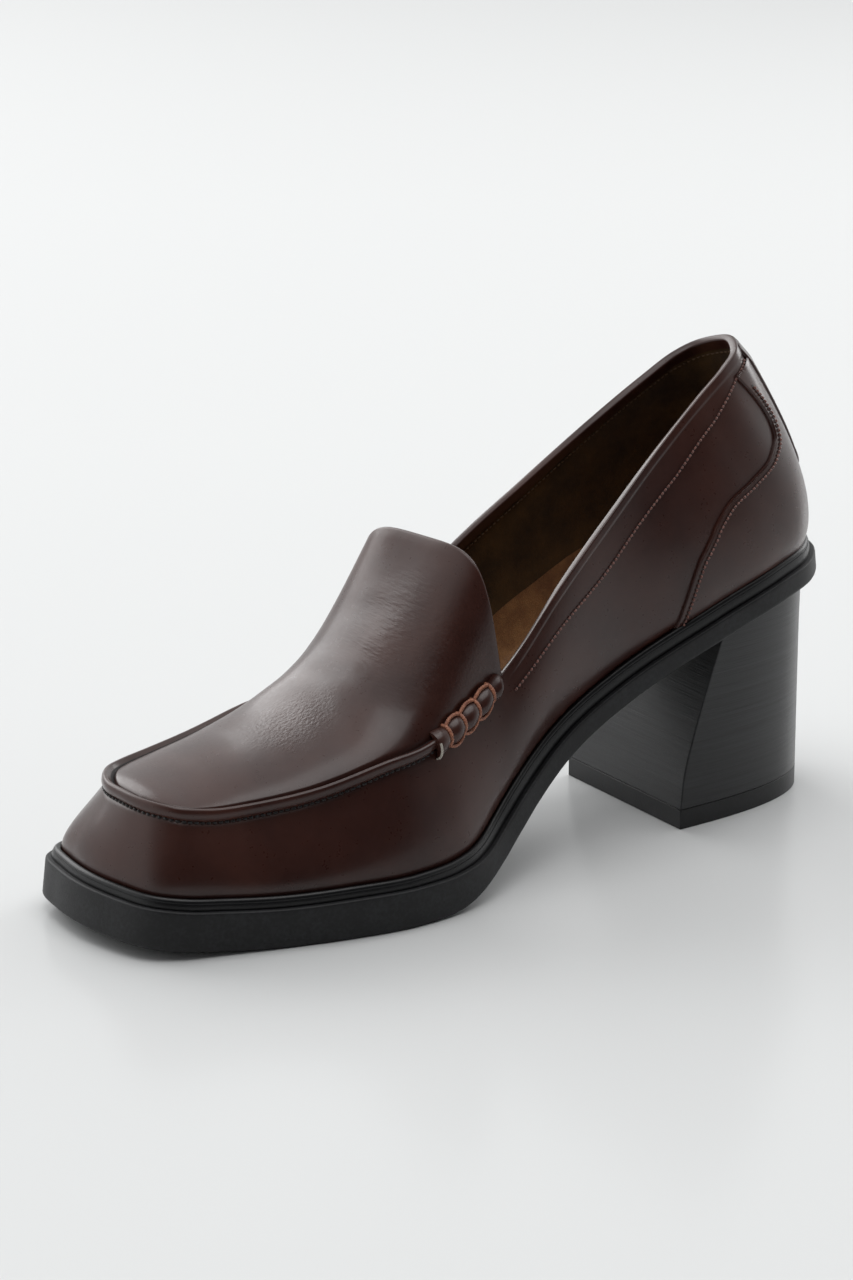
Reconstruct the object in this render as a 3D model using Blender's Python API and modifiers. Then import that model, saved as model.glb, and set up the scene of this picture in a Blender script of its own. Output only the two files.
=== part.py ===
"""Left loafer pump with a square toe and a block heel.

Every length below is in millimetres, in the shoe's own plan: x runs from the back of the
heel to the toe, y to the wearer's left (the outer side), z up from the floor.
The sole is a flat plan bent along one last-bottom profile, and the upper rises from it
through named stations that run round the shoe from the back to the toe on each side.
"""
import math

import bmesh
import bpy
import numpy as np
from mathutils.bvhtree import BVHTree

MM = 0.001
GAP = 0.3

# Side profile of the sole: top of the outsole and its thickness along x.
PROFILE = {
    "x":     (-8.0, 0.0, 20.0, 45.0, 70.0, 95.0, 115.0, 130.0, 145.0, 157.0, 178.0, 198.0, 220.0, 240.0),
    "top":   (73.5, 72.5, 69.5, 61.5, 50.0, 37.3, 24.5, 15.0, 11.7, 11.2, 11.2, 11.2, 13.0, 15.6),
    "thick": (6.2, 6.2, 6.2, 6.2, 6.2, 6.2, 6.2, 6.8, 10.4, 11.2, 11.2, 11.2, 11.2, 11.2),
}

# Plan of the outsole: a row for each station, from the back to the toe.
PLAN = (
    # name          outer x  outer y   inner x  inner y
    ("back",          -3.5,    0.0,     -3.5,     0.0),
    ("back_round",    -1.2,   12.0,     -1.2,   -11.5),
    ("heel_corner",    8.0,   22.5,      8.0,   -21.5),
    ("heel_side",     22.0,   27.5,     22.0,   -26.5),
    ("seat_front",    45.0,   28.0,     45.0,   -27.0),
    ("arch",          75.0,   24.0,     75.0,   -23.0),
    ("waist",        100.0,   25.5,    101.0,   -24.0),
    ("throat",       122.0,   33.0,    126.0,   -31.5),
    ("bar",          141.0,   42.0,    148.0,   -39.0),
    ("ball",         160.0,   44.0,    168.0,   -41.5),
    ("forepart",     180.0,   41.0,    188.0,   -39.5),
    ("toe_side",     199.5,   35.5,    206.0,   -36.7),
    ("corner_start", 213.0,   31.2,    220.0,   -34.2),
    ("corner_side",  223.0,   28.0,    229.0,   -31.5),
    ("corner",       231.5,   22.0,    236.0,   -26.3),
    ("corner_front", 237.0,    9.5,    238.9,   -14.5),
    ("toe",          239.3,   -2.5,    239.3,    -2.5),
)

# Top edge of the side walls: the collar up to the throat, the apron seam from the bar on.
TOP = (
    # name         outer x      y      z   inner x      y      z
    ("back",          23.0,   0.0, 136.5,    23.0,    0.0, 136.5),
    ("back_round",    27.0,   8.5, 135.0,    26.0,   -8.5, 134.2),
    ("heel_corner",   34.0,  12.5, 131.7,    33.0,  -12.8, 130.4),
    ("heel_side",     44.0,  14.6, 125.5,    43.0,  -15.0, 124.0),
    ("seat_front",    59.0,  16.8, 114.3,    59.0,  -18.0, 113.0),
    ("arch",          80.0,  20.8,  97.5,    80.0,  -22.5,  97.0),
    ("waist",        101.0,  24.8,  80.3,   103.0,  -26.5,  79.5),
    ("throat",       121.0,  25.5,  59.0,   128.5,  -27.0,  58.0),
    ("bar",          147.5,  30.8,  46.0,   150.0,  -29.5,  47.0),
    ("ball",         163.0,  30.8,  42.6,   170.0,  -29.3,  42.0),
    ("forepart",     181.0,  26.5,  37.6,   188.0,  -27.0,  38.8),
    ("toe_side",     199.0,  21.2,  35.2,   203.0,  -24.2,  37.6),
    ("corner_start", 210.0,  18.9,  35.2,   213.0,  -22.3,  37.0),
    ("corner_side",  217.5,  16.7,  36.4,   218.5,  -19.7,  37.1),
    ("corner",       222.0,  12.2,  37.4,   222.3,  -15.2,  37.5),
    ("corner_front", 224.5,   5.5,  37.7,   225.0,   -9.0,  37.7),
    ("toe",          225.2,  -2.0,  37.8,   225.2,   -2.0,  37.8),
)

# How far the wall swells outwards above its base and below its top edge.
SWELL = (
    # name          low   high
    ("back",         5.6, 13.0),
    ("back_round",   5.8, 12.0),
    ("heel_corner",  7.0, 10.0),
    ("heel_side",    7.0,  8.0),
    ("seat_front",   7.0,  6.0),
    ("arch",         7.0,  3.5),
    ("waist",        7.0,  3.0),
    ("throat",       5.0,  4.0),
    ("bar",          3.0,  4.0),
    ("ball",         2.5,  4.5),
    ("forepart",     2.0,  4.5),
    ("toe_side",     2.0,  4.0),
    ("corner_start", 2.0,  4.0),
    ("corner_side",  2.0,  4.0),
    ("corner",       1.5,  4.0),
    ("corner_front", 1.5,  4.0),
    ("toe",          1.5,  4.0),
)
LOW_RISE = 0.25
HIGH_DROP = 0.32

# The apron: an arch over each pair of stations, from the toe corner back to the free tongue.
APRON = (
    # name          rise  forward  sideways  fullness
    ("corner",       0.0,   0.0,     0.0,     2.0),
    ("corner_side",  2.6,   0.0,     0.0,     2.0),
    ("corner_start", 4.0,   0.0,     0.0,     2.0),
    ("toe_side",     5.0,   0.0,    -0.5,     2.0),
    ("forepart",     6.5,   0.0,    -1.0,     2.0),
    ("ball",         9.5,   0.0,    -2.0,     2.0),
    ("bar",         20.0,   0.0,    -4.0,     2.2),
    ("throat",      35.5,   4.0,    -5.0,     2.9),
)

APRON_FADE = 4

COLUMNS_PER_STATION = 4
WALL_ROWS = 6
WALL_THICK = 2.0

# The rim, from the outsole's edge inwards.
UPPER_INSET = 4.3
FEATHER_FRONT = 1.9
FEATHER_REAR = 3.2
FEATHER_FROM = 110.0
FEATHER_TO = 160.0
INSOLE_THICK = 2.4

# Section of the welt: inset from the outsole's edge, share of the feather height, extra height.
WELT = (
    # inset  share  extra
    (0.8,     0.0,   GAP),
    (0.8,     0.6,   0.0),
    (2.3,     0.9,   0.0),
    (3.1,     1.0,   0.8),
    (4.0,     1.0,  -GAP),
    (8.0,     1.0,  -GAP),
    (8.0,     0.0,   GAP),
)

# The block heel: height share from the floor up, then the front edge, back and half width.
HEEL = (
    # share  breast x  back x  half width
    (0.00,     58.3,    1.2,    27.2),
    (0.25,     56.5,    1.2,    26.6),
    (0.50,     52.8,    1.4,    26.1),
    (0.75,     48.4,    1.8,    25.9),
    (1.00,     43.6,    2.2,    26.0),
)
HEEL_ROWS = 8
HEEL_CENTRE_Y = 0.2
HEEL_SQUARENESS = 0.72
TOP_LIFT = 6.0

# Raised seam and side rolls: how far each foot reaches from the crease, and the height over them.
SEAM_FOOT_OUT = 2.3
SEAM_FOOT_IN = 1.7
SEAM_HEIGHT = 2.4
ROLL_FOOT_OUT = 4.2
ROLL_FOOT_IN = 3.4
ROLL_HEIGHT = 4.4
SEAM_ARC_POINTS = 7
SEAM_SLOPE = 0.75
SHOE_CORE_Y = -2.0
SHOE_CORE_Z = 20.0
SEAM_TO_ROLL = 0.03
SEAM_END = 8.0
ROLL_START = 7.03
ROLL_PILLOWS = 4
ROLL_COLUMNS = 24
ROLL_WAIST = 0.84

# Overlays round the back: the shares of the wall's height that they cover at each station.
COUNTER_EDGE = (
    # station  from   to
    (0.00,     0.06,  0.930),
    (1.66,     0.06,  0.930),
    (1.74,     0.06,  0.640),
    (1.85,     0.06,  0.605),
    (2.30,     0.06,  0.565),
    (2.90,     0.06,  0.540),
    (3.50,     0.06,  0.510),
    (3.85,     0.06,  0.440),
    (4.11,     0.06,  0.360),
    (4.31,     0.06,  0.200),
    (4.41,     0.06,  0.090),
)
OVERLAY_STEP = 0.24
COUNTER_ROWS = 6
COUNTER_LIFT = 0.42
COUNTER_THICK = 1.0
STRAP_EDGE = (
    # station  from   to
    (0.00,     0.390, 0.950),
    (0.45,     0.400, 0.950),
    (0.75,     0.435, 0.950),
    (0.90,     0.490, 0.950),
)
STRAP_ROWS = 5
STRAP_THICK = 0.8

ORIGIN_X = 118.3
ORIGIN_Y = 1.25

STATIONS = [row[0] for row in PLAN]
LAST = len(STATIONS) - 1


def smooth(knots, values, x):
    """Cubic curve through a short table, with slopes weighted by the knots' spacing."""
    knots = np.asarray(knots, float)
    values = np.asarray(values, float)
    step = np.diff(knots)
    rate = np.diff(values) / step
    slope = np.empty_like(values)
    slope[1:-1] = (rate[:-1] * step[1:] + rate[1:] * step[:-1]) / (step[:-1] + step[1:])
    slope[0] = rate[0]
    slope[-1] = rate[-1]
    i = np.clip(np.searchsorted(knots, x, side="right") - 1, 0, len(knots) - 2)
    t = (x - knots[i]) / step[i]
    ease = t * t * (3 - 2 * t)
    enter = t * (1 - t) ** 2 * step[i] * slope[i]
    leave = t * t * (t - 1) * step[i] * slope[i + 1]
    return values[i] * (1 - ease) + values[i + 1] * ease + enter + leave


def round_the_shoe(outer, inner):
    """Values at the stations, up the outer side from the back to the toe and down the inner."""
    return np.concatenate([np.asarray(outer, float), np.asarray(inner, float)[-2:0:-1]])


def ring_knots():
    """Distance round the plan at each station, the whole way round being 1."""
    x = round_the_shoe([r[1] for r in PLAN], [r[3] for r in PLAN])
    y = round_the_shoe([r[2] for r in PLAN], [r[4] for r in PLAN])
    legs = np.hypot(np.roll(x, -1) - x, np.roll(y, -1) - y)
    return np.concatenate([[0.0], np.cumsum(legs)]) / legs.sum()


KNOTS = ring_knots()


def ring(values, station):
    """A ring of station values read at any station: 0 is the back, LAST the toe, then on round."""
    count = len(KNOTS) - 1
    turn = np.interp(np.mod(station, count), np.arange(count + 1), KNOTS)
    knots = np.concatenate([KNOTS[-4:-1] - 1, KNOTS, KNOTS[1:4] + 1])
    looped = np.concatenate([values[-3:], values, values[:4]])
    return smooth(knots, looped, turn)


def plan(station, inset=0.0):
    """Plan points and their outward directions, inset from the outsole's edge."""
    x_values = round_the_shoe([r[1] for r in PLAN], [r[3] for r in PLAN])
    y_values = round_the_shoe([r[2] for r in PLAN], [r[4] for r in PLAN])
    nudge = 0.02
    ahead = np.stack([ring(x_values, station + nudge), ring(y_values, station + nudge)], -1)
    behind = np.stack([ring(x_values, station - nudge), ring(y_values, station - nudge)], -1)
    tangent = ahead - behind
    tangent /= np.linalg.norm(tangent, axis=-1)[..., None]
    outward = np.stack([-tangent[..., 1], tangent[..., 0]], -1)
    points = np.stack([ring(x_values, station), ring(y_values, station)], -1)
    return points - outward * inset, outward


def profile(name, x):
    return smooth(PROFILE["x"], PROFILE[name], x)


def on_sole(points, height):
    """Plan points set on the bent sole, a height above the outsole's top and square to it."""
    x = points[..., 0]
    reach = 0.5
    slope = (profile("top", x + reach) - profile("top", x - reach)) / (2 * reach)
    length = np.sqrt(1 + slope * slope)
    return np.stack([x - slope / length * height, points[..., 1], profile("top", x) + height / length], -1)


def sole_underside(x):
    """Height of the outsole's lower face at a given x, after the bend."""
    guess = np.linspace(PROFILE["x"][0], FEATHER_FROM, 400)
    line = on_sole(np.stack([guess, 0 * guess], -1), -profile("thick", guess))
    return np.interp(x, line[:, 0], line[:, 2])


def feather_height(x):
    """How high the upper's lower edge sits over the outsole's top."""
    share = np.clip((x - FEATHER_FROM) / (FEATHER_TO - FEATHER_FROM), 0, 1)
    return FEATHER_REAR + (FEATHER_FRONT - FEATHER_REAR) * share


def wall(station, share, proud=0.0):
    """Points on the outer face of the side walls: share 0 at the sole, 1 at the top edge."""
    station, share = np.broadcast_arrays(np.asarray(station, float), np.asarray(share, float))
    base_plan, outward = plan(station, UPPER_INSET)
    base = on_sole(base_plan, feather_height(base_plan[..., 0]))
    top = np.stack([ring(round_the_shoe([r[1 + k] for r in TOP], [r[4 + k] for r in TOP]), station)
                    for k in range(3)], -1)
    low, high = (ring(round_the_shoe([r[k] for r in SWELL], [r[k] for r in SWELL]), station) for k in (1, 2))
    out = np.concatenate([outward, np.zeros_like(outward[..., :1])], -1)
    rise = (top - base)[..., 2:] * np.array([0, 0, 1.0])
    first = base + out * low[..., None] + rise * LOW_RISE
    second = top + out * high[..., None] - rise * HIGH_DROP
    t = share[..., None]
    points = base * (1 - t) ** 3 + first * 3 * t * (1 - t) ** 2 + second * 3 * t * t * (1 - t) + top * t ** 3
    if np.any(proud):
        step = 0.02
        along = wall(station + step, share) - wall(station - step, share)
        low_share = np.clip(share - step, 0, 1)
        high_share = np.clip(share + step, 0, 1)
        up = wall(station, high_share) - wall(station, low_share)
        normal = np.cross(up, along)
        normal /= np.linalg.norm(normal, axis=-1)[..., None]
        points = points + normal * np.asarray(proud)[..., None]
    return points


def apron(back, across):
    """Points on the apron: back is a station, across an angle from the outer seam (0) to the inner (pi)."""
    names = [r[0] for r in APRON]
    knots = [STATIONS.index(n) for n in names][::-1]
    rise, forward, sideways, full = (smooth(knots, [r[k] for r in APRON][::-1], back) for k in (1, 2, 3, 4))
    count = len(KNOTS) - 1
    corner = STATIONS.index("corner")
    outer = wall(back, 1.0)
    inner = wall(count - back, 1.0)
    swing = np.cos(across)
    side = np.sign(swing) * np.abs(swing) ** (2 / full)
    lift = np.abs(np.sin(across)) ** (2 / full)
    share = ((1 - side) / 2)[..., None]
    points = outer * (1 - share) + inner * share
    front = wall(corner + (count - 2 * corner) * across / math.pi, 1.0)
    flat_share = ((1 - swing) / 2)[..., None]
    line = wall(corner, 1.0) * (1 - flat_share) + wall(count - corner, 1.0) * flat_share
    throat = STATIONS.index("throat")
    fade = np.clip((back - throat) / (corner - throat), 0, 1) ** APRON_FADE
    points = points + (front - line) * fade[..., None]
    return points + np.stack([forward * lift, sideways * lift, rise * lift], -1)


def material(name, colour, roughness):
    made = bpy.data.materials.new(name)
    made.use_nodes = True
    shader = made.node_tree.nodes["Principled BSDF"]
    shader.inputs["Base Color"].default_value = (*colour, 1.0)
    shader.inputs["Roughness"].default_value = roughness
    return made


def add_mesh(name, points, faces, made_of, smooth_angle=40):
    """A named object from points in millimetres, moved so the origin is under its middle."""
    mesh = bpy.data.meshes.new(name)
    shift = np.array([ORIGIN_X, ORIGIN_Y, 0.0])
    mesh.from_pydata(((np.asarray(points, float) - shift) * MM).tolist(), [], faces)
    mesh.validate()
    work = bmesh.new()
    work.from_mesh(mesh)
    bmesh.ops.remove_doubles(work, verts=work.verts, dist=1e-6)
    bmesh.ops.recalc_face_normals(work, faces=work.faces)
    work.to_mesh(mesh)
    work.free()
    mesh.shade_smooth()
    mesh.set_sharp_from_angle(angle=math.radians(smooth_angle))
    obj = bpy.data.objects.new(name, mesh)
    SHOE.objects.link(obj)
    obj.data.materials.append(made_of)
    return obj


def loft(rows, closed_rows=True, capped=True):
    """Points and faces through equal rows; each row is a ring when closed_rows."""
    rows = np.asarray(rows, float)
    count, width = rows.shape[:2]
    faces = []
    for i in range(count - 1):
        for j in range(width if closed_rows else width - 1):
            k = (j + 1) % width
            faces.append((i * width + j, i * width + k, (i + 1) * width + k, (i + 1) * width + j))
    if closed_rows and capped:
        faces.append(tuple(range(width))[::-1])
        faces.append(tuple((count - 1) * width + j for j in range(width)))
    return rows.reshape(-1, 3), faces


def plate(inset, bottom, top, per_station):
    """A bent plate inside the plan: rows across it from the back to the toe."""
    station = np.linspace(0, LAST, LAST * per_station + 1)
    outer, _ = plan(station, inset)
    inner, _ = plan(2 * LAST - station, inset)
    middle = (outer + inner) / 2
    across = np.stack([outer, middle, inner], 1)
    upper_face = on_sole(across, top(across[..., 0]))
    lower_face = on_sole(across, bottom(across[..., 0]))
    rows = np.concatenate([upper_face, lower_face[:, ::-1]], 1)
    return loft(rows, capped=False)


def build_outsole(made_of):
    points, faces = plate(0.0, lambda x: -profile("thick", x), lambda x: 0 * x, COLUMNS_PER_STATION)
    points[:, 2] = np.maximum(points[:, 2], 0)
    add_mesh("outsole", points, faces, made_of)


def build_insole(made_of):
    clear = UPPER_INSET + WALL_THICK + GAP * 2
    points, faces = plate(clear, feather_height, lambda x: feather_height(x) + INSOLE_THICK, 2)
    add_mesh("insole", points, faces, made_of)


def build_welt(made_of):
    station = np.arange(0, 2 * LAST, 1 / COLUMNS_PER_STATION)
    rows = []
    for inset, share, extra in WELT:
        points, _ = plan(station, inset)
        rows.append(on_sole(points, feather_height(points[:, 0]) * share + extra))
    rows.append(rows[0])
    points, faces = loft(rows, capped=False)
    add_mesh("welt", points, faces, made_of)


def build_upper(made_of):
    per = COLUMNS_PER_STATION
    count = 2 * LAST * per
    station = np.arange(count) / per
    shares = np.linspace(0, 1, WALL_ROWS + 1)
    rows = [wall(station, share) for share in shares]
    points, faces = loft(rows, capped=False)
    points = list(points)
    top_row = WALL_ROWS * count
    corner = STATIONS.index("corner") * per
    throat = STATIONS.index("throat") * per
    cells = count - 2 * corner
    across = np.linspace(0, math.pi, cells + 1)
    index = {}
    for column in range(corner, throat - 1, -1):
        ring_points = apron(np.full(cells + 1, column / per), across)
        for k in range(cells + 1):
            if column == corner:
                index[column, k] = top_row + corner + k
            elif k == 0:
                index[column, k] = top_row + column
            elif k == cells:
                index[column, k] = top_row + count - column
            else:
                index[column, k] = len(points)
                points.append(ring_points[k])
    for front in range(corner, throat, -1):
        rear = front - 1
        for k in range(cells):
            faces.append((index[front, k], index[front, k + 1], index[rear, k + 1], index[rear, k]))
    upper = add_mesh("upper", points, faces, made_of, smooth_angle=50)
    solid = upper.modifiers.new("leather", "SOLIDIFY")
    solid.thickness = WALL_THICK * MM
    solid.offset = -1.0
    solid.use_even_offset = True
    solid.use_rim = True


def apron_tree():
    """The apron's surface as a search tree, for seating what lies on it."""
    across = np.linspace(0, math.pi, 49)
    stations = np.linspace(STATIONS.index("throat") - 0.1, STATIONS.index("corner"), 71)
    rows = [apron(np.full(len(across), back), across) for back in stations]
    points, faces = loft(rows, closed_rows=False)
    return BVHTree.FromPolygons(points.tolist(), faces)


def seam_rows(station, foot_out, foot_in, height, swell):
    """Rings of a rolled seam: one foot on the wall, one on the apron, an arc over both."""
    tree = apron_tree()
    crease = wall(station, 1.0)
    step = 0.03
    along = wall(station + step, 1.0) - wall(station - step, 1.0)
    tall = crease[:, 2] - wall(station, 0.0)[:, 2]
    wall_feet = wall(station, 1 - foot_out * swell / tall, np.full(len(station), GAP))
    up = np.array([0, 0, 1.0])
    inward = np.cross(along, up)
    inward /= np.linalg.norm(inward, axis=1)[:, None]
    angle = np.linspace(0, math.pi, SEAM_ARC_POINTS)
    rows = []
    for i in range(len(station)):
        target = crease[i] + (inward[i] + up) * foot_in * swell[i] * SEAM_SLOPE
        spot, normal, _, _ = tree.find_nearest(target.tolist())
        normal = np.array(normal)
        core = np.array([spot[0], SHOE_CORE_Y, SHOE_CORE_Z])
        if np.dot(normal, np.array(spot) - core) < 0:
            normal = -normal
        inner_foot = np.array(spot) + normal * GAP
        middle = (wall_feet[i] + inner_foot) / 2
        half = (inner_foot - wall_feet[i]) / 2
        out = np.cross(along[i], half)
        out /= np.linalg.norm(out)
        if out[2] < 0:
            out = -out
        arc = [middle - half * math.cos(a) + out * height * swell[i] * math.sin(a) for a in angle]
        rows.append([crease[i] + out * 2 * GAP] + arc)
    return rows


def build_seam(made_of):
    station = np.arange(SEAM_END, 2 * LAST - SEAM_END + 0.01, 1 / COLUMNS_PER_STATION)
    station[[0, -1]] += [SEAM_TO_ROLL, -SEAM_TO_ROLL]
    rows = seam_rows(station, SEAM_FOOT_OUT, SEAM_FOOT_IN, SEAM_HEIGHT, np.ones(len(station)))
    points, faces = loft(rows)
    add_mesh("moc_seam", points, faces, made_of)


def build_roll(name, inner, made_of):
    station = np.linspace(ROLL_START, SEAM_END, ROLL_COLUMNS + 1)
    phase = np.linspace(0, ROLL_PILLOWS * math.pi, ROLL_COLUMNS + 1)
    swell = ROLL_WAIST + (1 - ROLL_WAIST) * np.abs(np.sin(phase))
    if inner:
        station = 2 * LAST - station
    rows = seam_rows(station, ROLL_FOOT_OUT, ROLL_FOOT_IN, ROLL_HEIGHT, swell)
    points, faces = loft(rows)
    add_mesh(name, points, faces, made_of)


def overlay(name, edge, thick, lift, rows_up, made_of):
    """A leather overlay round the back of the heel, cut from the wall's own surface."""
    half = [0.0]
    for (start, _, _), (end, _, _) in zip(edge, edge[1:]):
        parts = math.ceil((end - start) / OVERLAY_STEP)
        half += [start + (end - start) * (k + 1) / parts for k in range(parts)]
    station = np.array([-s for s in half[:0:-1]] + half)
    low, high = (np.interp(np.abs(station), [r[0] for r in edge], [r[k] for r in edge]) for k in (1, 2))
    rise = np.linspace(0, 1, rows_up + 1)
    rows = []
    for s, bottom, top in zip(station, low, high):
        shares = bottom + (top - bottom) * rise
        stations = np.full(len(shares), s)
        inside = wall(stations, shares, np.full(len(shares), lift))
        outside = wall(stations, shares, np.full(len(shares), lift + thick))
        rows.append(np.concatenate([inside, outside[::-1]]))
    points, faces = loft(rows, capped=False)
    width = 2 * (rows_up + 1)
    for column in (0, len(rows) - 1):
        for j in range(rows_up):
            corners = (j, j + 1, width - 2 - j, width - 1 - j)
            faces.append(tuple(column * width + c for c in corners))
    add_mesh(name, points, faces, made_of)


def heel_ring(breast, back, half_width, points_round=20):
    """A D in plan: straight breast, rounded back."""
    angle = np.linspace(0, math.pi, points_round + 1)
    side = np.sign(np.cos(angle)) * np.abs(np.cos(angle)) ** HEEL_SQUARENESS
    depth = np.sin(angle) ** HEEL_SQUARENESS
    reach = breast - back
    x = breast - reach * depth
    y = HEEL_CENTRE_Y + half_width * side
    return np.stack([x, y], -1)


def build_heel(heel_made_of, lift_made_of):
    share_of = [row[0] for row in HEEL]

    def ring_at(share):
        return heel_ring(*(smooth(share_of, [row[k] for row in HEEL], share) for k in (1, 2, 3)))

    rows = []
    for share in np.linspace(0, 1, HEEL_ROWS + 1):
        plan_points = ring_at(share)
        seat = sole_underside(plan_points[:, 0]) - GAP
        z = (TOP_LIFT + GAP) * (1 - share) + seat * share
        rows.append(np.column_stack([plan_points, z]))
    points, faces = loft(rows)
    add_mesh("heel", points, faces, heel_made_of)
    bottom = ring_at(0.0)
    low = np.column_stack([bottom, np.zeros(len(bottom))])
    high = np.column_stack([bottom, np.full(len(bottom), TOP_LIFT)])
    points, faces = loft([low, high])
    add_mesh("top_lift", points, faces, lift_made_of)


for old in list(bpy.data.objects):
    bpy.data.objects.remove(old, do_unlink=True)

SHOE = bpy.data.collections.new("loafer_pump")
bpy.context.scene.collection.children.link(SHOE)

leather = material("burgundy_leather", (0.045, 0.012, 0.010), 0.28)
rubber = material("black_rubber", (0.008, 0.008, 0.008), 0.55)
stack = material("black_stack", (0.010, 0.009, 0.009), 0.30)
suede = material("tan_suede", (0.230, 0.110, 0.040), 0.80)

build_outsole(rubber)
build_welt(rubber)
build_insole(suede)
build_upper(leather)
build_seam(leather)
build_roll("roll_outer", False, leather)
build_roll("roll_inner", True, leather)
overlay("counter", COUNTER_EDGE, COUNTER_THICK, COUNTER_LIFT, COUNTER_ROWS, leather)
overlay("back_strap", STRAP_EDGE, STRAP_THICK, COUNTER_LIFT + COUNTER_THICK + GAP, STRAP_ROWS, leather)
build_heel(stack, rubber)
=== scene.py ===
"""Looks of a left loafer pump: square toe, raised apron seam with thread-wrapped rolls, block heel.

Lengths are millimetres in the shoe's own plan: x runs from the back of the heel to the toe,
y to the wearer's left (the outer side), z up from the floor. place() moves them into the frame.
"""
import math

import bmesh
import bpy
import numpy as np
from mathutils import Matrix, Vector
from mathutils.bvhtree import BVHTree


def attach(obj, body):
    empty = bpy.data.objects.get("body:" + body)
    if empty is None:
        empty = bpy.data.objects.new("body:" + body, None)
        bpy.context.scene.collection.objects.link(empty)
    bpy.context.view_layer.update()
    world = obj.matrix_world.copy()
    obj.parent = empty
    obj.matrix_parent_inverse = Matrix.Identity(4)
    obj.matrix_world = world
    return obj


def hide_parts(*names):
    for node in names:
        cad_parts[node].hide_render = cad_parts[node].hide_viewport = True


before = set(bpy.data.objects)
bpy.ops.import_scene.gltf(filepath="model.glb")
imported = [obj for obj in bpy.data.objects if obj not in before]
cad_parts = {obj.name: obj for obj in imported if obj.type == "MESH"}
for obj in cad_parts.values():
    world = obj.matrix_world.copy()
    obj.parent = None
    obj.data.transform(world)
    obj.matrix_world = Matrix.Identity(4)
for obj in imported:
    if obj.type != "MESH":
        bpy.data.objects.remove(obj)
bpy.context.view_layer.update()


# Outsole: one moulding of black rubber, thick under the forefoot and thin through the waist and
# the heel seat. Its edge is trimmed square with a slight round above and below.
MM = 0.001
PLAN_MIDDLE = (118.3, 1.25, 0.0)

SOLE_PROFILE = {
    "x":     (-8.0, 0.0, 20.0, 45.0, 70.0, 95.0, 115.0, 130.0, 145.0, 157.0, 178.0, 198.0, 220.0, 240.0),
    "top":   (73.5, 72.5, 69.5, 61.5, 50.0, 37.3, 24.5, 15.0, 11.7, 11.2, 11.2, 11.2, 13.0, 15.6),
    "thick": (6.2, 6.2, 6.2, 6.2, 6.2, 6.2, 6.2, 6.8, 10.4, 11.2, 11.2, 11.2, 11.2, 11.2),
}
SOLE_PLAN = (
    # name          outer x  outer y   inner x  inner y
    ("back",          -3.5,    0.0,     -3.5,     0.0),
    ("back_round",    -1.2,   12.0,     -1.2,   -11.5),
    ("heel_corner",    8.0,   22.5,      8.0,   -21.5),
    ("heel_side",     22.0,   27.5,     22.0,   -26.5),
    ("seat_front",    45.0,   28.0,     45.0,   -27.0),
    ("arch",          75.0,   24.0,     75.0,   -23.0),
    ("waist",        100.0,   25.5,    101.0,   -24.0),
    ("throat",       122.0,   33.0,    126.0,   -31.5),
    ("bar",          141.0,   42.0,    148.0,   -39.0),
    ("ball",         160.0,   44.0,    168.0,   -41.5),
    ("forepart",     180.0,   41.0,    188.0,   -39.5),
    ("toe_side",     199.5,   35.5,    206.0,   -36.7),
    ("corner_start", 213.0,   31.2,    220.0,   -34.2),
    ("corner_side",  223.0,   28.0,    229.0,   -31.5),
    ("corner",       231.5,   22.0,    236.0,   -26.3),
    ("corner_front", 237.0,    9.5,    238.9,   -14.5),
    ("toe",          239.3,   -2.5,    239.3,    -2.5),
)
STATIONS = [row[0] for row in SOLE_PLAN]
TOE = len(STATIONS) - 1
FULL_TURN = 2 * TOE

SOLE_COLUMN = 1.4
SOLE_TOP_INSETS = (9.0, 2.0)
SOLE_TOP_ROUND = 0.6
SOLE_BOTTOM_ROUND = 1.1
SOLE_UNDERSIDE_INSET = 5.0
SOLE_SIDE_ROWS = 8
SOLE_CROSS_ROWS = 20


def smooth(knots, values, x):
    """Cubic curve through a short table, with slopes weighted by the knots' spacing."""
    knots = np.asarray(knots, float)
    values = np.asarray(values, float)
    step = np.diff(knots)
    rate = np.diff(values) / step
    slope = np.empty_like(values)
    slope[1:-1] = (rate[:-1] * step[1:] + rate[1:] * step[:-1]) / (step[:-1] + step[1:])
    slope[0] = rate[0]
    slope[-1] = rate[-1]
    i = np.clip(np.searchsorted(knots, x, side="right") - 1, 0, len(knots) - 2)
    t = (x - knots[i]) / step[i]
    ease = t * t * (3 - 2 * t)
    enter = t * (1 - t) ** 2 * step[i] * slope[i]
    leave = t * t * (t - 1) * step[i] * slope[i + 1]
    return values[i] * (1 - ease) + values[i + 1] * ease + enter + leave


def round_the_shoe(outer, inner):
    """Values at the stations, up the outer side from the back to the toe and down the inner."""
    return np.concatenate([np.asarray(outer, float), np.asarray(inner, float)[-2:0:-1]])


PLAN_X = round_the_shoe([r[1] for r in SOLE_PLAN], [r[3] for r in SOLE_PLAN])
PLAN_Y = round_the_shoe([r[2] for r in SOLE_PLAN], [r[4] for r in SOLE_PLAN])
LEGS = np.hypot(np.roll(PLAN_X, -1) - PLAN_X, np.roll(PLAN_Y, -1) - PLAN_Y)
KNOTS = np.concatenate([[0.0], np.cumsum(LEGS)]) / LEGS.sum()


def ring(values, station):
    """A ring of station values read at any station: 0 is the back, TOE the toe, then on round."""
    turn = np.interp(np.mod(station, FULL_TURN), np.arange(FULL_TURN + 1), KNOTS)
    knots = np.concatenate([KNOTS[-4:-1] - 1, KNOTS, KNOTS[1:4] + 1])
    looped = np.concatenate([values[-3:], values, values[:4]])
    return smooth(knots, looped, turn)


def unit(vectors):
    """The same directions, each with length 1."""
    return vectors / (np.linalg.norm(vectors, axis=-1)[..., None] + 1e-12)


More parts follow.
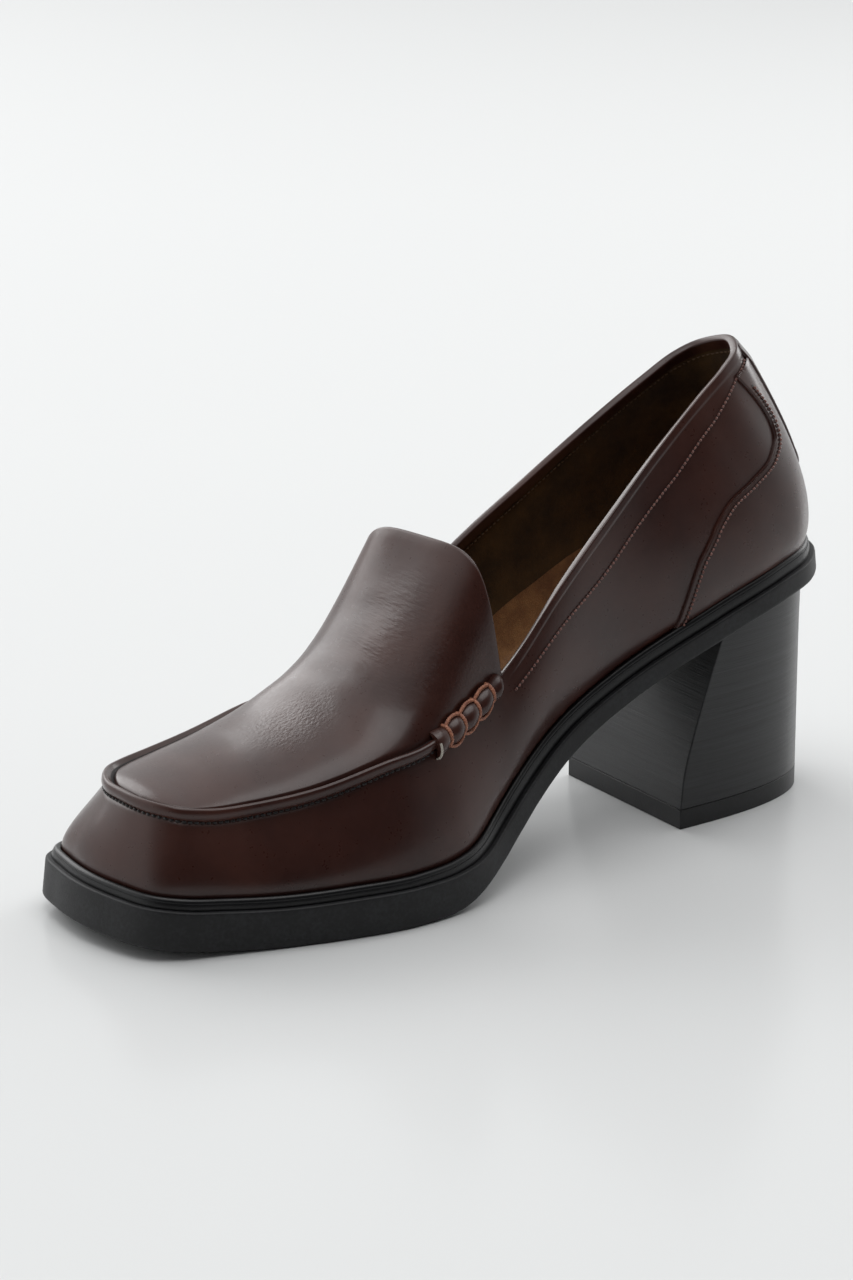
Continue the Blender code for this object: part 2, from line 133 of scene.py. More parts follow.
def run_along(points):
    """Length along a path up to each of its points."""
    return np.concatenate([[0.0], np.cumsum(np.linalg.norm(np.diff(points, axis=0), axis=1))])


def plan(station, inset=0.0):
    """Plan points and their outward directions, inset from the outsole's edge."""
    nudge = 0.02
    behind, points, ahead = (np.stack([ring(PLAN_X, station + step), ring(PLAN_Y, station + step)], -1)
                             for step in (-nudge, 0, nudge))
    tangent = unit(ahead - behind)
    outward = np.stack([-tangent[..., 1], tangent[..., 0]], -1)
    return points - outward * inset, outward


def profile(name, x):
    return smooth(SOLE_PROFILE["x"], SOLE_PROFILE[name], x)


def on_sole(points, height):
    """Plan points set on the bent sole, a height above the outsole's top and square to it."""
    x = points[..., 0]
    reach = 0.5
    slope = (profile("top", x + reach) - profile("top", x - reach)) / (2 * reach)
    length = np.sqrt(1 + slope * slope)
    return np.stack([x - slope / length * height, points[..., 1], profile("top", x) + height / length], -1)


def half_stations(step):
    """Stations from the back to the toe, one about every step millimetres along the edge."""
    fine = np.linspace(0, TOE, 1601)
    run = sum(run_along(plan(s)[0]) for s in (fine, FULL_TURN - fine)) / 2
    return np.interp(np.linspace(0, run[-1], round(run[-1] / step) + 1), run, fine)


def whole_ring(half):
    return np.concatenate([half, FULL_TURN - half[-2:0:-1]])


def place(points):
    return (np.asarray(points, float) - PLAN_MIDDLE) * MM


def sheet(rows, closed=False):
    """Points and four-sided faces of a grid; closed joins each row's end to its start."""
    rows = np.asarray(rows, float)
    count, width = rows.shape[:2]
    i, j = np.meshgrid(np.arange(count - 1), np.arange(width if closed else width - 1), indexing="ij")
    k = (j + 1) % width
    faces = np.stack([i * width + j, i * width + k, (i + 1) * width + k, (i + 1) * width + j], -1)
    return rows.reshape(-1, 3), faces.reshape(-1, 4)


def add_object(name, data):
    """A new object, linked into the scene."""
    made = bpy.data.objects.new(name, data)
    bpy.context.scene.collection.objects.link(made)
    return made


def make_piece(name, sheets, finishes, crisp=40, welded=True, ends=()):
    """One object, in millimetres, from sheets of points, faces and, if not the first, which finish.

    ends are faces on the first sheet's points that close the piece.
    """
    points = np.concatenate([s[0] for s in sheets])
    starts = np.cumsum([0] + [len(s[0]) for s in sheets])
    faces = np.concatenate([s[1] + start for s, start in zip(sheets, starts)])
    which = [np.broadcast_to(s[2] if len(s) > 2 else 0, len(s[1])) for s in sheets]
    which = np.concatenate(which + [np.zeros(len(ends))])
    mesh = bpy.data.meshes.new(name)
    mesh.from_pydata(place(points).tolist(), [], faces.tolist() + list(ends))
    mesh.polygons.foreach_set("material_index", which.astype(np.int32))
    mesh.validate()
    work = bmesh.new()
    work.from_mesh(mesh)
    if welded:
        bmesh.ops.remove_doubles(work, verts=work.verts, dist=1e-6)
    bmesh.ops.recalc_face_normals(work, faces=work.faces)
    work.to_mesh(mesh)
    work.free()
    mesh.shade_smooth()
    mesh.set_sharp_from_angle(angle=math.radians(crisp))
    for finish in finishes:
        mesh.materials.append(finish)
    return add_object(name, mesh)


def hex_colour(code):
    """An sRGB hex colour as linear red, green, blue, alpha."""
    parts = [int(code[i:i + 2], 16) / 255 for i in (1, 3, 5)]
    return [p / 12.92 if p <= 0.04045 else ((p + 0.055) / 1.055) ** 2.4 for p in parts] + [1.0]


def per_mm(size):
    """Texture scale, per metre, of a pattern whose features are size millimetres apart."""
    return 1 / (size * MM)


def add_node(tree, kind, inputs=None, **settings):
    """A shader node with its settings; inputs are values, or outputs of other nodes to link."""
    node = tree.nodes.new("ShaderNode" + kind)
    for name, value in settings.items():
        setattr(node, name, value)
    for name, value in (inputs or {}).items():
        if isinstance(value, bpy.types.NodeSocket):
            tree.links.new(value, node.inputs[name])
        else:
            node.inputs[name].default_value = value
    return node


def new_finish(name, **inputs):
    """A material with a Principled shader; inputs are named as its sockets, in lower case."""
    made = bpy.data.materials.new(name)
    made.use_nodes = True
    shader = made.node_tree.nodes["Principled BSDF"]
    sockets = {socket.name.lower().replace(" ", "_"): socket for socket in shader.inputs}
    for key, value in inputs.items():
        sockets[key].default_value = value
    return made, made.node_tree, shader


def bump(tree, height, depth, normal=None):
    """A bump whose height output of 1 stands depth millimetres proud."""
    inputs = {"Height": height, "Distance": depth * MM, "Strength": 1.0}
    if normal:
        inputs["Normal"] = normal
    return add_node(tree, "Bump", inputs).outputs["Normal"]


def noise(tree, where, size, detail, rough=0.5):
    """Noise whose features are size millimetres apart, or a size for each axis."""
    if isinstance(size, tuple):
        where = add_node(tree, "Mapping", {"Vector": where, "Scale": [per_mm(s) for s in size]}).outputs[0]
    scale = 1.0 if isinstance(size, tuple) else per_mm(size)
    return add_node(tree, "TexNoise", {"Vector": where, "Scale": scale, "Detail": detail,
                                       "Roughness": rough}).outputs["Fac"]


def ramp(tree, fac, *stops):
    """A colour that runs between two stops, each a position and an sRGB hex."""
    made = add_node(tree, "ValToRGB", {"Fac": fac})
    for element, (position, colour) in zip(made.color_ramp.elements, stops):
        element.position = position
        element.color = hex_colour(colour)
    return made.outputs["Color"]


def maths(tree, operation, first, second):
    return add_node(tree, "Math", {0: first, 1: second}, operation=operation).outputs[0]


def moulded_rubber(name, colour, worn, roughness):
    """Moulded rubber: matte, mottled in tone, with the mould's fine blasted grain."""
    made, tree, shader = new_finish(name, roughness=roughness, ior=1.52, specular_ior_level=0.42)
    where = add_node(tree, "TexCoord").outputs["Object"]
    mottle = maths(tree, "MULTIPLY", noise(tree, where, 9, 6.0, 0.62), noise(tree, where, 1.1, 3.0))
    tree.links.new(ramp(tree, mottle, (0.20, colour), (0.42, worn)), shader.inputs["Base Color"])
    tree.links.new(bump(tree, noise(tree, where, 0.5, 4.0), 0.05), shader.inputs["Normal"])
    return made


outsole_rubber = moulded_rubber("moulded_outsole_rubber", "#0E0E10", "#1E1F22", 0.56)

sole_half = half_stations(SOLE_COLUMN)
sole_ring = whole_ring(sole_half)


def outsole_row(inset, drop, from_bottom=False):
    """A ring on the outsole: inset from its edge and dropped from its top, or raised off its bottom."""
    points, _ = plan(sole_ring, inset)
    depth = profile("thick", points[:, 0]) - drop if from_bottom else np.full(len(points), drop)
    row = on_sole(points, -depth)
    row[:, 2] = np.maximum(row[:, 2], 0)
    return row


quarter_turn = np.linspace(0, math.pi / 2, 5)
outsole_rows = [outsole_row(inset, 0.0) for inset in SOLE_TOP_INSETS]
outsole_rows += [outsole_row(SOLE_TOP_ROUND * (1 - math.sin(a)), SOLE_TOP_ROUND * (1 - math.cos(a)))
                 for a in quarter_turn]
side_top = outsole_rows[-1]
side_bottom = outsole_row(0.0, SOLE_BOTTOM_ROUND, from_bottom=True)
outsole_rows += [side_top + (side_bottom - side_top) * t for t in np.linspace(0, 1, SOLE_SIDE_ROWS + 1)[1:]]
outsole_rows += [outsole_row(SOLE_BOTTOM_ROUND * (1 - math.cos(a)), SOLE_BOTTOM_ROUND * (1 - math.sin(a)),
                             from_bottom=True) for a in quarter_turn[1:]]
outsole_rows.append(outsole_row(SOLE_UNDERSIDE_INSET, 0.0, from_bottom=True))
across = np.linspace(0, 1, SOLE_CROSS_ROWS + 1)[None, :, None]
left_edge = plan(sole_half, SOLE_UNDERSIDE_INSET)[0][:, None]
right_edge = plan(FULL_TURN - sole_half, SOLE_UNDERSIDE_INSET)[0][:, None]
underside_plan = left_edge * (1 - across) + right_edge * across
underside = on_sole(underside_plan, -profile("thick", underside_plan[..., 0]))
underside[..., 2] = np.maximum(underside[..., 2], 0)
outsole = make_piece("outsole_moulding", [sheet(outsole_rows, closed=True), sheet(underside)],
                     [outsole_rubber])
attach(outsole, "root")
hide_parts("outsole")


# Welt: a black rubber strip cemented round the outsole's rim. Its side stands a little in from the
# edge, and its top is rounded over like a bead, which hides where the upper goes in.
FEATHER_FRONT = 1.9
FEATHER_REAR = 3.2
FEATHER_FROM = 110.0
FEATHER_TO = 160.0
WELT_SECTION = (
    # inset  share of the feather height  extra
    (8.0,  0.00,  0.05),
    (1.60, 0.00,  0.05),
    (1.55, 0.25,  0.00),
    (1.56, 0.50,  0.00),
    (1.62, 0.72,  0.00),
    (1.74, 0.92,  0.00),
)
WELT_TUCKED = (8.0, 1.0, -1.0)
BEAD_INSET = 3.0
BEAD_RADIUS = 1.15
BEAD_SINK = 0.05
BEAD_ANGLES = np.radians((172, 155, 135, 115, 95, 70, 45, 20, -10, -40))


def feather_height(x):
    """How high the upper's lower edge sits over the outsole's top."""
    share = np.clip((x - FEATHER_FROM) / (FEATHER_TO - FEATHER_FROM), 0, 1)
    return FEATHER_REAR + (FEATHER_FRONT - FEATHER_REAR) * share


def welt_row(inset, share, extra):
    points, _ = plan(sole_ring, inset)
    return on_sole(points, feather_height(points[:, 0]) * share + extra)


welt_rows = [welt_row(*row) for row in WELT_SECTION]
welt_rows += [welt_row(BEAD_INSET - BEAD_RADIUS * math.cos(a), 1.0, BEAD_RADIUS * math.sin(a) - BEAD_SINK)
              for a in BEAD_ANGLES]
welt_rows.append(welt_row(*WELT_TUCKED))
welt_rubber = moulded_rubber("polished_welt_rubber", "#060608", "#0D0D10", 0.36)
welt = make_piece("welt_strip", [sheet(welt_rows, closed=True)], [welt_rubber], crisp=60)
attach(welt, "root")
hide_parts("welt")


# Heel: a block turned to a D in plan, its breast slightly hollow, painted black over a stack of
# thin layers, so fine level lines show through the lacquer.
HEEL_RINGS = (
    # share  breast x  back x  half width
    (0.00,     58.3,    1.2,    27.2),
    (0.25,     56.5,    1.2,    26.6),
    (0.50,     52.8,    1.4,    26.1),
    (0.75,     48.4,    1.8,    25.9),
    (1.00,     43.6,    2.2,    26.0),
)
HEEL_MIDDLE_Y = 0.2
HEEL_SQUARENESS = 0.72
TOP_LIFT = 6.0
LIFT_JOINT = 0.05
HEEL_ROWS = 48
HEEL_COLUMNS = 120
HEEL_EDGE_ROUND = 0.35
STACK_LAYER = 1.1
STACK_DRIFT = 45


def heel_plan(share):
    """The block's outline at a share of its height: round the back, then straight over the breast."""
    breast, back, half = (smooth([r[0] for r in HEEL_RINGS], [r[k] for r in HEEL_RINGS], share)
                          for k in (1, 2, 3))
    angle = np.linspace(0, math.pi, HEEL_COLUMNS + 1)
    side = np.sign(np.cos(angle)) * np.abs(np.cos(angle)) ** HEEL_SQUARENESS
    depth = np.sin(angle) ** HEEL_SQUARENESS
    sides = np.stack([breast - (breast - back) * depth, HEEL_MIDDLE_Y + half * side], -1)
    over = np.linspace(-1, 1, 26)[1:-1]
    front = np.stack([np.full(len(over), breast), HEEL_MIDDLE_Y + half * over], -1)
    return np.concatenate([sides, front])


def sole_underside(x):
    """Height of the outsole's lower face at a given x, after the bend."""
    guess = np.linspace(SOLE_PROFILE["x"][0], FEATHER_FROM, 400)
    line = on_sole(np.stack([guess, 0 * guess], -1), -profile("thick", guess))
    return np.interp(x, line[:, 0], line[:, 2])


def soften(piece, width, angle=30, rounds=3):
    """Rounds a piece's hard edges, as sanding or moulding leaves them."""
    edge = piece.modifiers.new("edge_round", "BEVEL")
    edge.width = width * MM
    edge.segments = rounds
    edge.limit_method = "ANGLE"
    edge.angle_limit = math.radians(angle)
    edge.harden_normals = False


def make_block(name, rows, finish):
    """A closed block from rows of points, capped with one face at each end."""
    width, last = len(rows[0]), (len(rows) - 1) * len(rows[0])
    ends = [tuple(range(width)), tuple(range(last, last + width))]
    return make_piece(name, [sheet(rows, closed=True)], [finish], crisp=35, welded=False, ends=ends)


def mottled(name, pattern, low, high, grain, depth, **inputs):
    """A finish mottled between two tones, with a grain depth millimetres deep.

    pattern and grain are a noise's size, detail and roughness, low and high a ramp's stops.
    """
    made, tree, shader = new_finish(name, **inputs)
    where = add_node(tree, "TexCoord").outputs["Object"]
    tree.links.new(ramp(tree, noise(tree, where, *pattern), low, high), shader.inputs["Base Color"])
    tree.links.new(bump(tree, noise(tree, where, *grain), depth), shader.inputs["Normal"])
    return made


# Black lacquer over sanded stacked layers: satin, with thin level lines a shade apart.
stack_lines = ((STACK_DRIFT, STACK_DRIFT, STACK_LAYER), 5.0, 0.7)
heel_finish = mottled("lacquered_stacked_heel", stack_lines, (0.35, "#060607"), (0.70, "#1B1C1F"),
                      stack_lines, 0.15, roughness=0.40, ior=1.5, coat_weight=0.12, coat_roughness=0.25)
heel_rows = []
for share in np.linspace(0, 1, HEEL_ROWS + 1):
    outline = heel_plan(share)
    seat = sole_underside(outline[:, 0])
    z = (TOP_LIFT + LIFT_JOINT) * (1 - share) + seat * share
    heel_rows.append(np.column_stack([outline, z]))
heel = make_block("heel_block", heel_rows, heel_finish)
soften(heel, HEEL_EDGE_ROUND)
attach(heel, "root")
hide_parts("heel")


# Top lift: the replaceable wearing piece under the heel, black rubber nailed on with a thin joint.
LIFT_ROUND = 0.25
lift_outline = heel_plan(0.0)
lift_rows = [np.column_stack([lift_outline, np.full(len(lift_outline), z)])
             for z in np.linspace(0, TOP_LIFT, 5)]
lift_rubber = moulded_rubber("top_lift_rubber", "#0C0C0E", "#17171A", 0.45)
top_lift = make_block("top_lift_piece", lift_rows, lift_rubber)
soften(top_lift, LIFT_ROUND)
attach(top_lift, "root")
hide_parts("top_lift")


# Upper: burgundy-brown polished calf, lasted over the foot's form. The side walls run round the shoe,
# their collar edge folded over, and the apron is let in on top and runs back to a free tongue.
UPPER_INSET = 4.3
TOP_EDGE = (
    # name         outer x      y      z   inner x      y      z   swell low  high
    ("back",          23.0,   0.0, 136.5,    23.0,    0.0, 136.5,   5.6, 13.0),
    ("back_round",    27.0,   8.5, 135.0,    26.0,   -8.5, 134.2,   5.8, 12.0),
    ("heel_corner",   34.0,  12.5, 131.7,    33.0,  -12.8, 130.4,   7.0, 10.0),
    ("heel_side",     44.0,  14.6, 125.5,    43.0,  -15.0, 124.0,   7.0,  8.0),
    ("seat_front",    59.0,  16.8, 114.3,    59.0,  -18.0, 113.0,   7.0,  6.0),
    ("arch",          80.0,  20.8,  97.5,    80.0,  -22.5,  97.0,   7.0,  3.5),
    ("waist",        101.0,  24.8,  80.3,   103.0,  -26.5,  79.5,   7.0,  3.0),
    ("throat",       121.0,  25.5,  59.0,   128.5,  -27.0,  58.0,   5.0,  4.0),
    ("bar",          147.5,  30.8,  46.0,   150.0,  -29.5,  47.0,   3.0,  4.0),
    ("ball",         163.0,  30.8,  42.6,   170.0,  -29.3,  42.0,   2.5,  4.5),
    ("forepart",     181.0,  26.5,  37.6,   188.0,  -27.0,  38.8,   2.0,  4.5),
    ("toe_side",     199.0,  21.2,  35.2,   203.0,  -24.2,  37.6,   2.0,  4.0),
    ("corner_start", 210.0,  18.9,  35.2,   213.0,  -22.3,  37.0,   2.0,  4.0),
    ("corner_side",  217.5,  16.7,  36.4,   218.5,  -19.7,  37.1,   2.0,  4.0),
    ("corner",       222.0,  12.2,  37.4,   222.3,  -15.2,  37.5,   1.5,  4.0),
    ("corner_front", 224.5,   5.5,  37.7,   225.0,   -9.0,  37.7,   1.5,  4.0),
    ("toe",          225.2,  -2.0,  37.8,   225.2,   -2.0,  37.8,   1.5,  4.0),
)
LOW_RISE = 0.25
HIGH_DROP = 0.32
APRON_ARCH = (
    # name          rise  forward  sideways  fullness
    ("corner",       0.0,   0.0,     0.0,     2.0),
    ("corner_side",  2.6,   0.0,     0.0,     2.0),
    ("corner_start", 4.0,   0.0,     0.0,     2.0),
    ("toe_side",     5.0,   0.0,    -0.5,     2.0),
    ("forepart",     6.5,   0.0,    -1.0,     2.0),
    ("ball",         9.5,   0.0,    -2.0,     2.0),
    ("bar",         20.0,   0.0,    -4.0,     2.2),
    ("throat",      34.4,   4.0,    -2.6,     4.2),
)
APRON_FADE = 4
CORNER = STATIONS.index("corner")
THROAT = STATIONS.index("throat")
BAR = STATIONS.index("bar")

WALL_COLUMN = 1.15
FOLD_THICK = 2.3
FOLD_ROUND = 0.6
FOLD_BAND = 2.2
FOLD_FADE = 0.9
FOLD_BULGE = 0.28
FOLD_CROWN = 0.06
FOLD_DEEP = 3.0
LINING_STEP = 0.45
LINING_PROUD = -1.8
SEAM_FOOT_OUT = 1.7
GROOVE_DEEP = 0.20
GROOVE_WIDE = 0.7
GROOVE_BELOW = 0.2
SUNK_DEEP = 1.5
SUNK_FROM = 1.7
SUNK_TO = 2.7
TONGUE_EDGE_ROUND = 0.9
TONGUE_CALF_ROWS = 11
CALF_COLOUR = "#43261F"
CALF_POOLED = "#341B16"
CALF_ROUGHNESS = 0.31
LEATHER_GRAIN = 1.0
LEATHER_PULL = 14.0
WRINKLE_SIZE = (0.9, 5.0, 0.9)
PEBBLE_SIZE = 0.95
TONGUE_WRINKLES = (134.0, 6.0, 62.0)
VAMP_PEBBLE = (172.0, 0.0, 48.0)

# Soft troughs and ridges where the vamp gives, as plan points on the apron.
APRON_CREASES = (
    # x      y     heading  length  width  depth
    (158.0,  -6.0,   96.0,   17.0,   2.6,  0.22),
    (151.0,   3.0,   92.0,   14.0,   2.2,  0.18),
    (166.0,   6.0,   84.0,   13.0,   2.8,  0.16),
    (143.0,  -8.0,  100.0,   12.0,   2.0,  0.14),
)

TOP_RINGS = [round_the_shoe([r[1 + k] for r in TOP_EDGE], [r[4 + k] for r in TOP_EDGE]) for k in range(3)]
SWELL_RINGS = [round_the_shoe([r[k] for r in TOP_EDGE], [r[k] for r in TOP_EDGE]) for k in (7, 8)]


def wall(station, share, proud=None):
    """Points on the outer face of the side walls: share 0 at the sole, 1 at the top edge."""
    station, share = np.broadcast_arrays(np.asarray(station, float), np.asarray(share, float))
    base_plan, outward = plan(station, UPPER_INSET)
    base = on_sole(base_plan, feather_height(base_plan[..., 0]))
    top = np.stack([ring(values, station) for values in TOP_RINGS], -1)
    low, high = (ring(values, station)[..., None] for values in SWELL_RINGS)
    out = np.concatenate([outward, np.zeros_like(outward[..., :1])], -1)
    rise = (top - base)[..., 2:] * np.array([0, 0, 1.0])
    first = base + out * low + rise * LOW_RISE
    second = top + out * high - rise * HIGH_DROP
    t = share[..., None]
    points = base * (1 - t) ** 3 + first * 3 * t * (1 - t) ** 2 + second * 3 * t * t * (1 - t) + top * t ** 3
    if proud is not None:
        points = points + wall_normal(station, share) * np.asarray(proud)[..., None]
    return points


def wall_normal(station, share):
    step = 0.02
    along = wall(station + step, share) - wall(station - step, share)
    up = wall(station, np.minimum(share + step, 1)) - wall(station, np.maximum(share - step, 0))
    return unit(np.cross(up, along))


def share_per_mm(station):
    """Share of the wall's height taken by a millimetre just below its top edge."""
    span = 0.02
    return span / np.linalg.norm(wall(station, 1.0) - wall(station, 1.0 - span), axis=-1)


def apron(back, across):
    """Points on the apron: back is a station, across an angle from the outer seam (0) over to pi."""
    knots = [STATIONS.index(row[0]) for row in APRON_ARCH][::-1]
    rise, forward, sideways, full = (smooth(knots, [r[k] for r in APRON_ARCH][::-1], back)
                                     for k in (1, 2, 3, 4))
    outer = wall(back, 1.0)
    inner = wall(FULL_TURN - back, 1.0)
    swing = np.cos(across)
    side = np.sign(swing) * np.abs(swing) ** (2 / full)
    lift = np.abs(np.sin(across)) ** (2 / full)
    share = ((1 - side) / 2)[..., None]
    points = outer * (1 - share) + inner * share
    front = wall(CORNER + (FULL_TURN - 2 * CORNER) * across / math.pi, 1.0)
    flat_share = ((1 - swing) / 2)[..., None]
    line = wall(CORNER, 1.0) * (1 - flat_share) + wall(FULL_TURN - CORNER, 1.0) * flat_share
    fade = np.clip((back - THROAT) / (CORNER - THROAT), 0, 1) ** APRON_FADE
    points = points + (front - line) * fade[..., None]
    return points + np.stack([forward * lift, sideways * lift, rise * lift], -1)


def sheet_normals(rows, outside):
    """Unit normals of a grid of points, turned to the side that the outside point is on."""
    normal = unit(np.cross(np.gradient(rows, axis=0), np.gradient(rows, axis=1)))
    middle = rows.reshape(-1, 3).mean(0)
    flip = np.sum(normal.reshape(-1, 3).mean(0) * (np.asarray(outside) - middle)) < 0
    return -normal if flip else normal


def crease_depth(x, y, creases):
    """Sum of soft troughs, each with a low ridge along both sides."""
    depth = np.zeros_like(x)
    for at_x, at_y, heading, length, width, deep in creases:
        turn = math.radians(heading)
        u = (x - at_x) * math.cos(turn) + (y - at_y) * math.sin(turn)
        v = -(x - at_x) * math.sin(turn) + (y - at_y) * math.cos(turn)
        q = (v / width) ** 2
        depth += deep * (1 - q) * np.exp(-q / 2) * np.exp(-(u / length) ** 2)
    return depth


def zone(tree, where, centre, inner, outer):
    """1 within inner millimetres of a plan point, falling softly to 0 at outer."""
    away = add_node(tree, "VectorMath", {0: where, 1: tuple(place(centre))}, operation="DISTANCE")
    return add_node(tree, "MapRange", {"Value": away.outputs["Value"], "From Min": inner * MM,
                                       "From Max": outer * MM, "To Min": 1.0, "To Max": 0.0},
                    interpolation_type="SMOOTHSTEP").outputs["Result"]


def polished_calf(name, wrinkled=False):
    """Polished calf: a wax shine dulled a little at the pores, deeper in tone where dye has pooled."""
    made, tree, shader = new_finish(name, roughness=CALF_ROUGHNESS, ior=1.5, specular_ior_level=0.36,
                                    coat_weight=0.30, coat_roughness=0.18, coat_ior=1.45)
    where = add_node(tree, "TexCoord").outputs["Object"]
    tone = ramp(tree, noise(tree, where, 26, 5.0, 0.55), (0.36, CALF_POOLED), (0.66, CALF_COLOUR))
    tree.links.new(tone, shader.inputs["Base Color"])
    gloss = maths(tree, "ADD", noise(tree, where, 5, 4.0, 0.6), noise(tree, where, LEATHER_GRAIN, 1.0))
    rough = add_node(tree, "MapRange", {"Value": gloss, "From Min": 0.7, "From Max": 1.3,
                                        "To Min": CALF_ROUGHNESS - 0.04, "To Max": CALF_ROUGHNESS + 0.06})
    tree.links.new(rough.outputs["Result"], shader.inputs["Roughness"])
    soft = bump(tree, noise(tree, where, LEATHER_PULL, 2.0), 0.10)
    if wrinkled:
        flex = maths(tree, "MULTIPLY", noise(tree, where, WRINKLE_SIZE, 3.0),
                     zone(tree, where, TONGUE_WRINKLES, 6, 30))
        worn = maths(tree, "MULTIPLY", noise(tree, where, PEBBLE_SIZE, 2.0),
                     zone(tree, where, VAMP_PEBBLE, 4, 20))
        soft = bump(tree, flex, 0.20, bump(tree, worn, 0.14, soft))
    tree.links.new(soft, shader.inputs["Normal"])
    tree.links.new(soft, shader.inputs["Coat Normal"])
    return made


calf = polished_calf("polished_burgundy_calf")
creased_calf = polished_calf("flexed_burgundy_calf", wrinkled=True)
# Lining of brushed leather: flat, dark olive brown, with a short nap and faint streaks.
lining = mottled("olive_brushed_lining", (11, 6.0, 0.6), (0.35, "#402F1D"), (0.70, "#644A29"),
                 (0.5, 5.0, 0.7), 0.15, roughness=0.82, ior=1.45, specular_ior_level=0.25,
                 sheen_weight=0.15)

wall_half = half_stations(WALL_COLUMN)
wall_ring = whole_ring(wall_half)
wall_scale = share_per_mm(wall_ring)
fold_start = 1 - FOLD_ROUND * wall_scale
outer_shares = np.concatenate([np.linspace(-0.02, 0.84, 40), np.linspace(0.84, 1.0, 29)[1:]])
from_back = np.minimum(wall_ring, FULL_TURN - wall_ring)
on_seam = np.clip((from_back - (BAR - 0.1)) / 0.15, 0, 1)
on_collar = np.clip((THROAT - 0.1 - from_back) / 0.3, 0, 1)
bulge = FOLD_BULGE * on_collar


def wall_row(down, proud):
    """A ring on the wall, down millimetres below the fold's start and standing proud of it."""
    return wall(wall_ring, fold_start - down * wall_scale, proud)


wall_rows = []
for share in outer_shares:
    reached = np.maximum(share, 0) * fold_start
    below = (1 - reached) / wall_scale
    groove = np.exp(-((below - SEAM_FOOT_OUT - GROOVE_BELOW) / GROOVE_WIDE) ** 2)
    rolled = bulge * (1 - np.clip((below - FOLD_BAND) / FOLD_FADE, 0, 1) ** 2)
    wall_rows.append(wall(wall_ring, reached, rolled - GROOVE_DEEP * on_seam * groove))
for a in np.linspace(0, math.pi / 2, 6)[1:]:
    wall_rows.append(wall_row(-FOLD_ROUND * math.sin(a), FOLD_ROUND * (math.cos(a) - 1) + bulge))
for t in (0.33, 0.67):
    inwards = FOLD_ROUND + t * (FOLD_THICK - 2 * FOLD_ROUND)
    wall_rows.append(wall_row(-FOLD_ROUND - FOLD_CROWN, bulge * (1 - t) - inwards))
for a in np.linspace(math.pi / 2, 0, 6):
    wall_rows.append(wall_row(-FOLD_ROUND * math.sin(a), -FOLD_THICK + FOLD_ROUND * (1 - math.cos(a))))
for down in (0.5, 1.2, 2.0, 2.7, FOLD_DEEP):
    wall_rows.append(wall_row(down, -FOLD_THICK))
fold_rows = len(wall_rows)
for down, proud in ((FOLD_DEEP + 0.05, LINING_PROUD + LINING_STEP), (FOLD_DEEP + 0.5, LINING_PROUD + 0.1)):
    wall_rows.append(wall_row(down, proud))
lining_top = fold_start - (FOLD_DEEP + 1.0) * wall_scale
for t in np.linspace(1, 0.03, 26):
    wall_rows.append(wall(wall_ring, lining_top * t, LINING_PROUD))
wall_points, wall_faces = sheet(wall_rows, closed=True)
wall_finish = (np.arange(len(wall_faces)) // len(wall_ring) >= fold_rows).astype(int)

apron_across = np.linspace(0, math.pi, 121)
apron_back = np.interp(np.linspace(0, 1, 97), np.linspace(0, 1, 15), np.linspace(CORNER, THROAT, 15))
apron_rows = apron(apron_back[:, None], apron_across[None, :])
apron_up = (0.0, 0.0, 500.0)
apron_normals = sheet_normals(apron_rows, apron_up)
full_apron = apron_rows.copy()
apron_border = np.concatenate([apron_rows[:, 0], apron_rows[:, -1], apron_rows[0]])
to_border = np.stack([np.linalg.norm(row[:, None] - apron_border[None], axis=-1).min(-1)
                      for row in apron_rows])
sunk = 1 - np.clip((to_border - SUNK_FROM) / (SUNK_TO - SUNK_FROM), 0, 1)
sunk = sunk * sunk * (3 - 2 * sunk) * np.clip((apron_back - BAR + 0.6) / 0.8, 0.0, 1)[:, None]
apron_rows[..., 2] -= SUNK_DEEP * sunk
apron_rows = apron_rows - apron_normals * crease_depth(apron_rows[..., 0], apron_rows[..., 1],
                                                       APRON_CREASES)[..., None]
edge_out = unit(apron_rows[-1] - apron_rows[-3])
edge_normal = apron_normals[-1]
tongue_edge = [apron_rows[-1] + TONGUE_EDGE_ROUND * (edge_out * math.sin(a) + edge_normal * (math.cos(a) - 1))
               for a in np.linspace(0, math.pi, 9)[1:]]
apron_inside = (apron_rows - apron_normals * 2 * TONGUE_EDGE_ROUND)[::-1]
apron_sheet = np.concatenate([apron_rows, tongue_edge, apron_inside[1:]])
apron_points, apron_faces = sheet(apron_sheet)
turned_under = np.arange(len(apron_faces)) // (len(apron_across) - 1) >= len(apron_rows) + TONGUE_CALF_ROWS
apron_finish = np.where(turned_under, 1, 2)
upper = make_piece("calf_upper",
                   [(wall_points, wall_faces, wall_finish), (apron_points, apron_faces, apron_finish)],
                   [calf, lining, creased_calf], crisp=50, welded=False)
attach(upper, "root")
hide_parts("upper")


# Insole: the padded footbed, covered in tan napped leather that shows down the throat. Beside the
# arch its cover turns up against the wall.
WALL_THICK = 2.0
INSOLE_THICK = 2.4
INSOLE_CLEAR = 0.6
INSOLE_COLUMN = 1.6
CURL_X = (-10, 10, 40, 65, 95, 118, 140, 250)
CURL_RISE = (0.8, 0.8, 6.0, 10.5, 10.5, 4.0, 0.8, 0.8)
CURL_TOP_GAP = 0.25
CURL_CORNER_GAP = 0.6
CURL_CORNER_SHARE = 0.45
CURL_CORNER_LIFT = 0.15

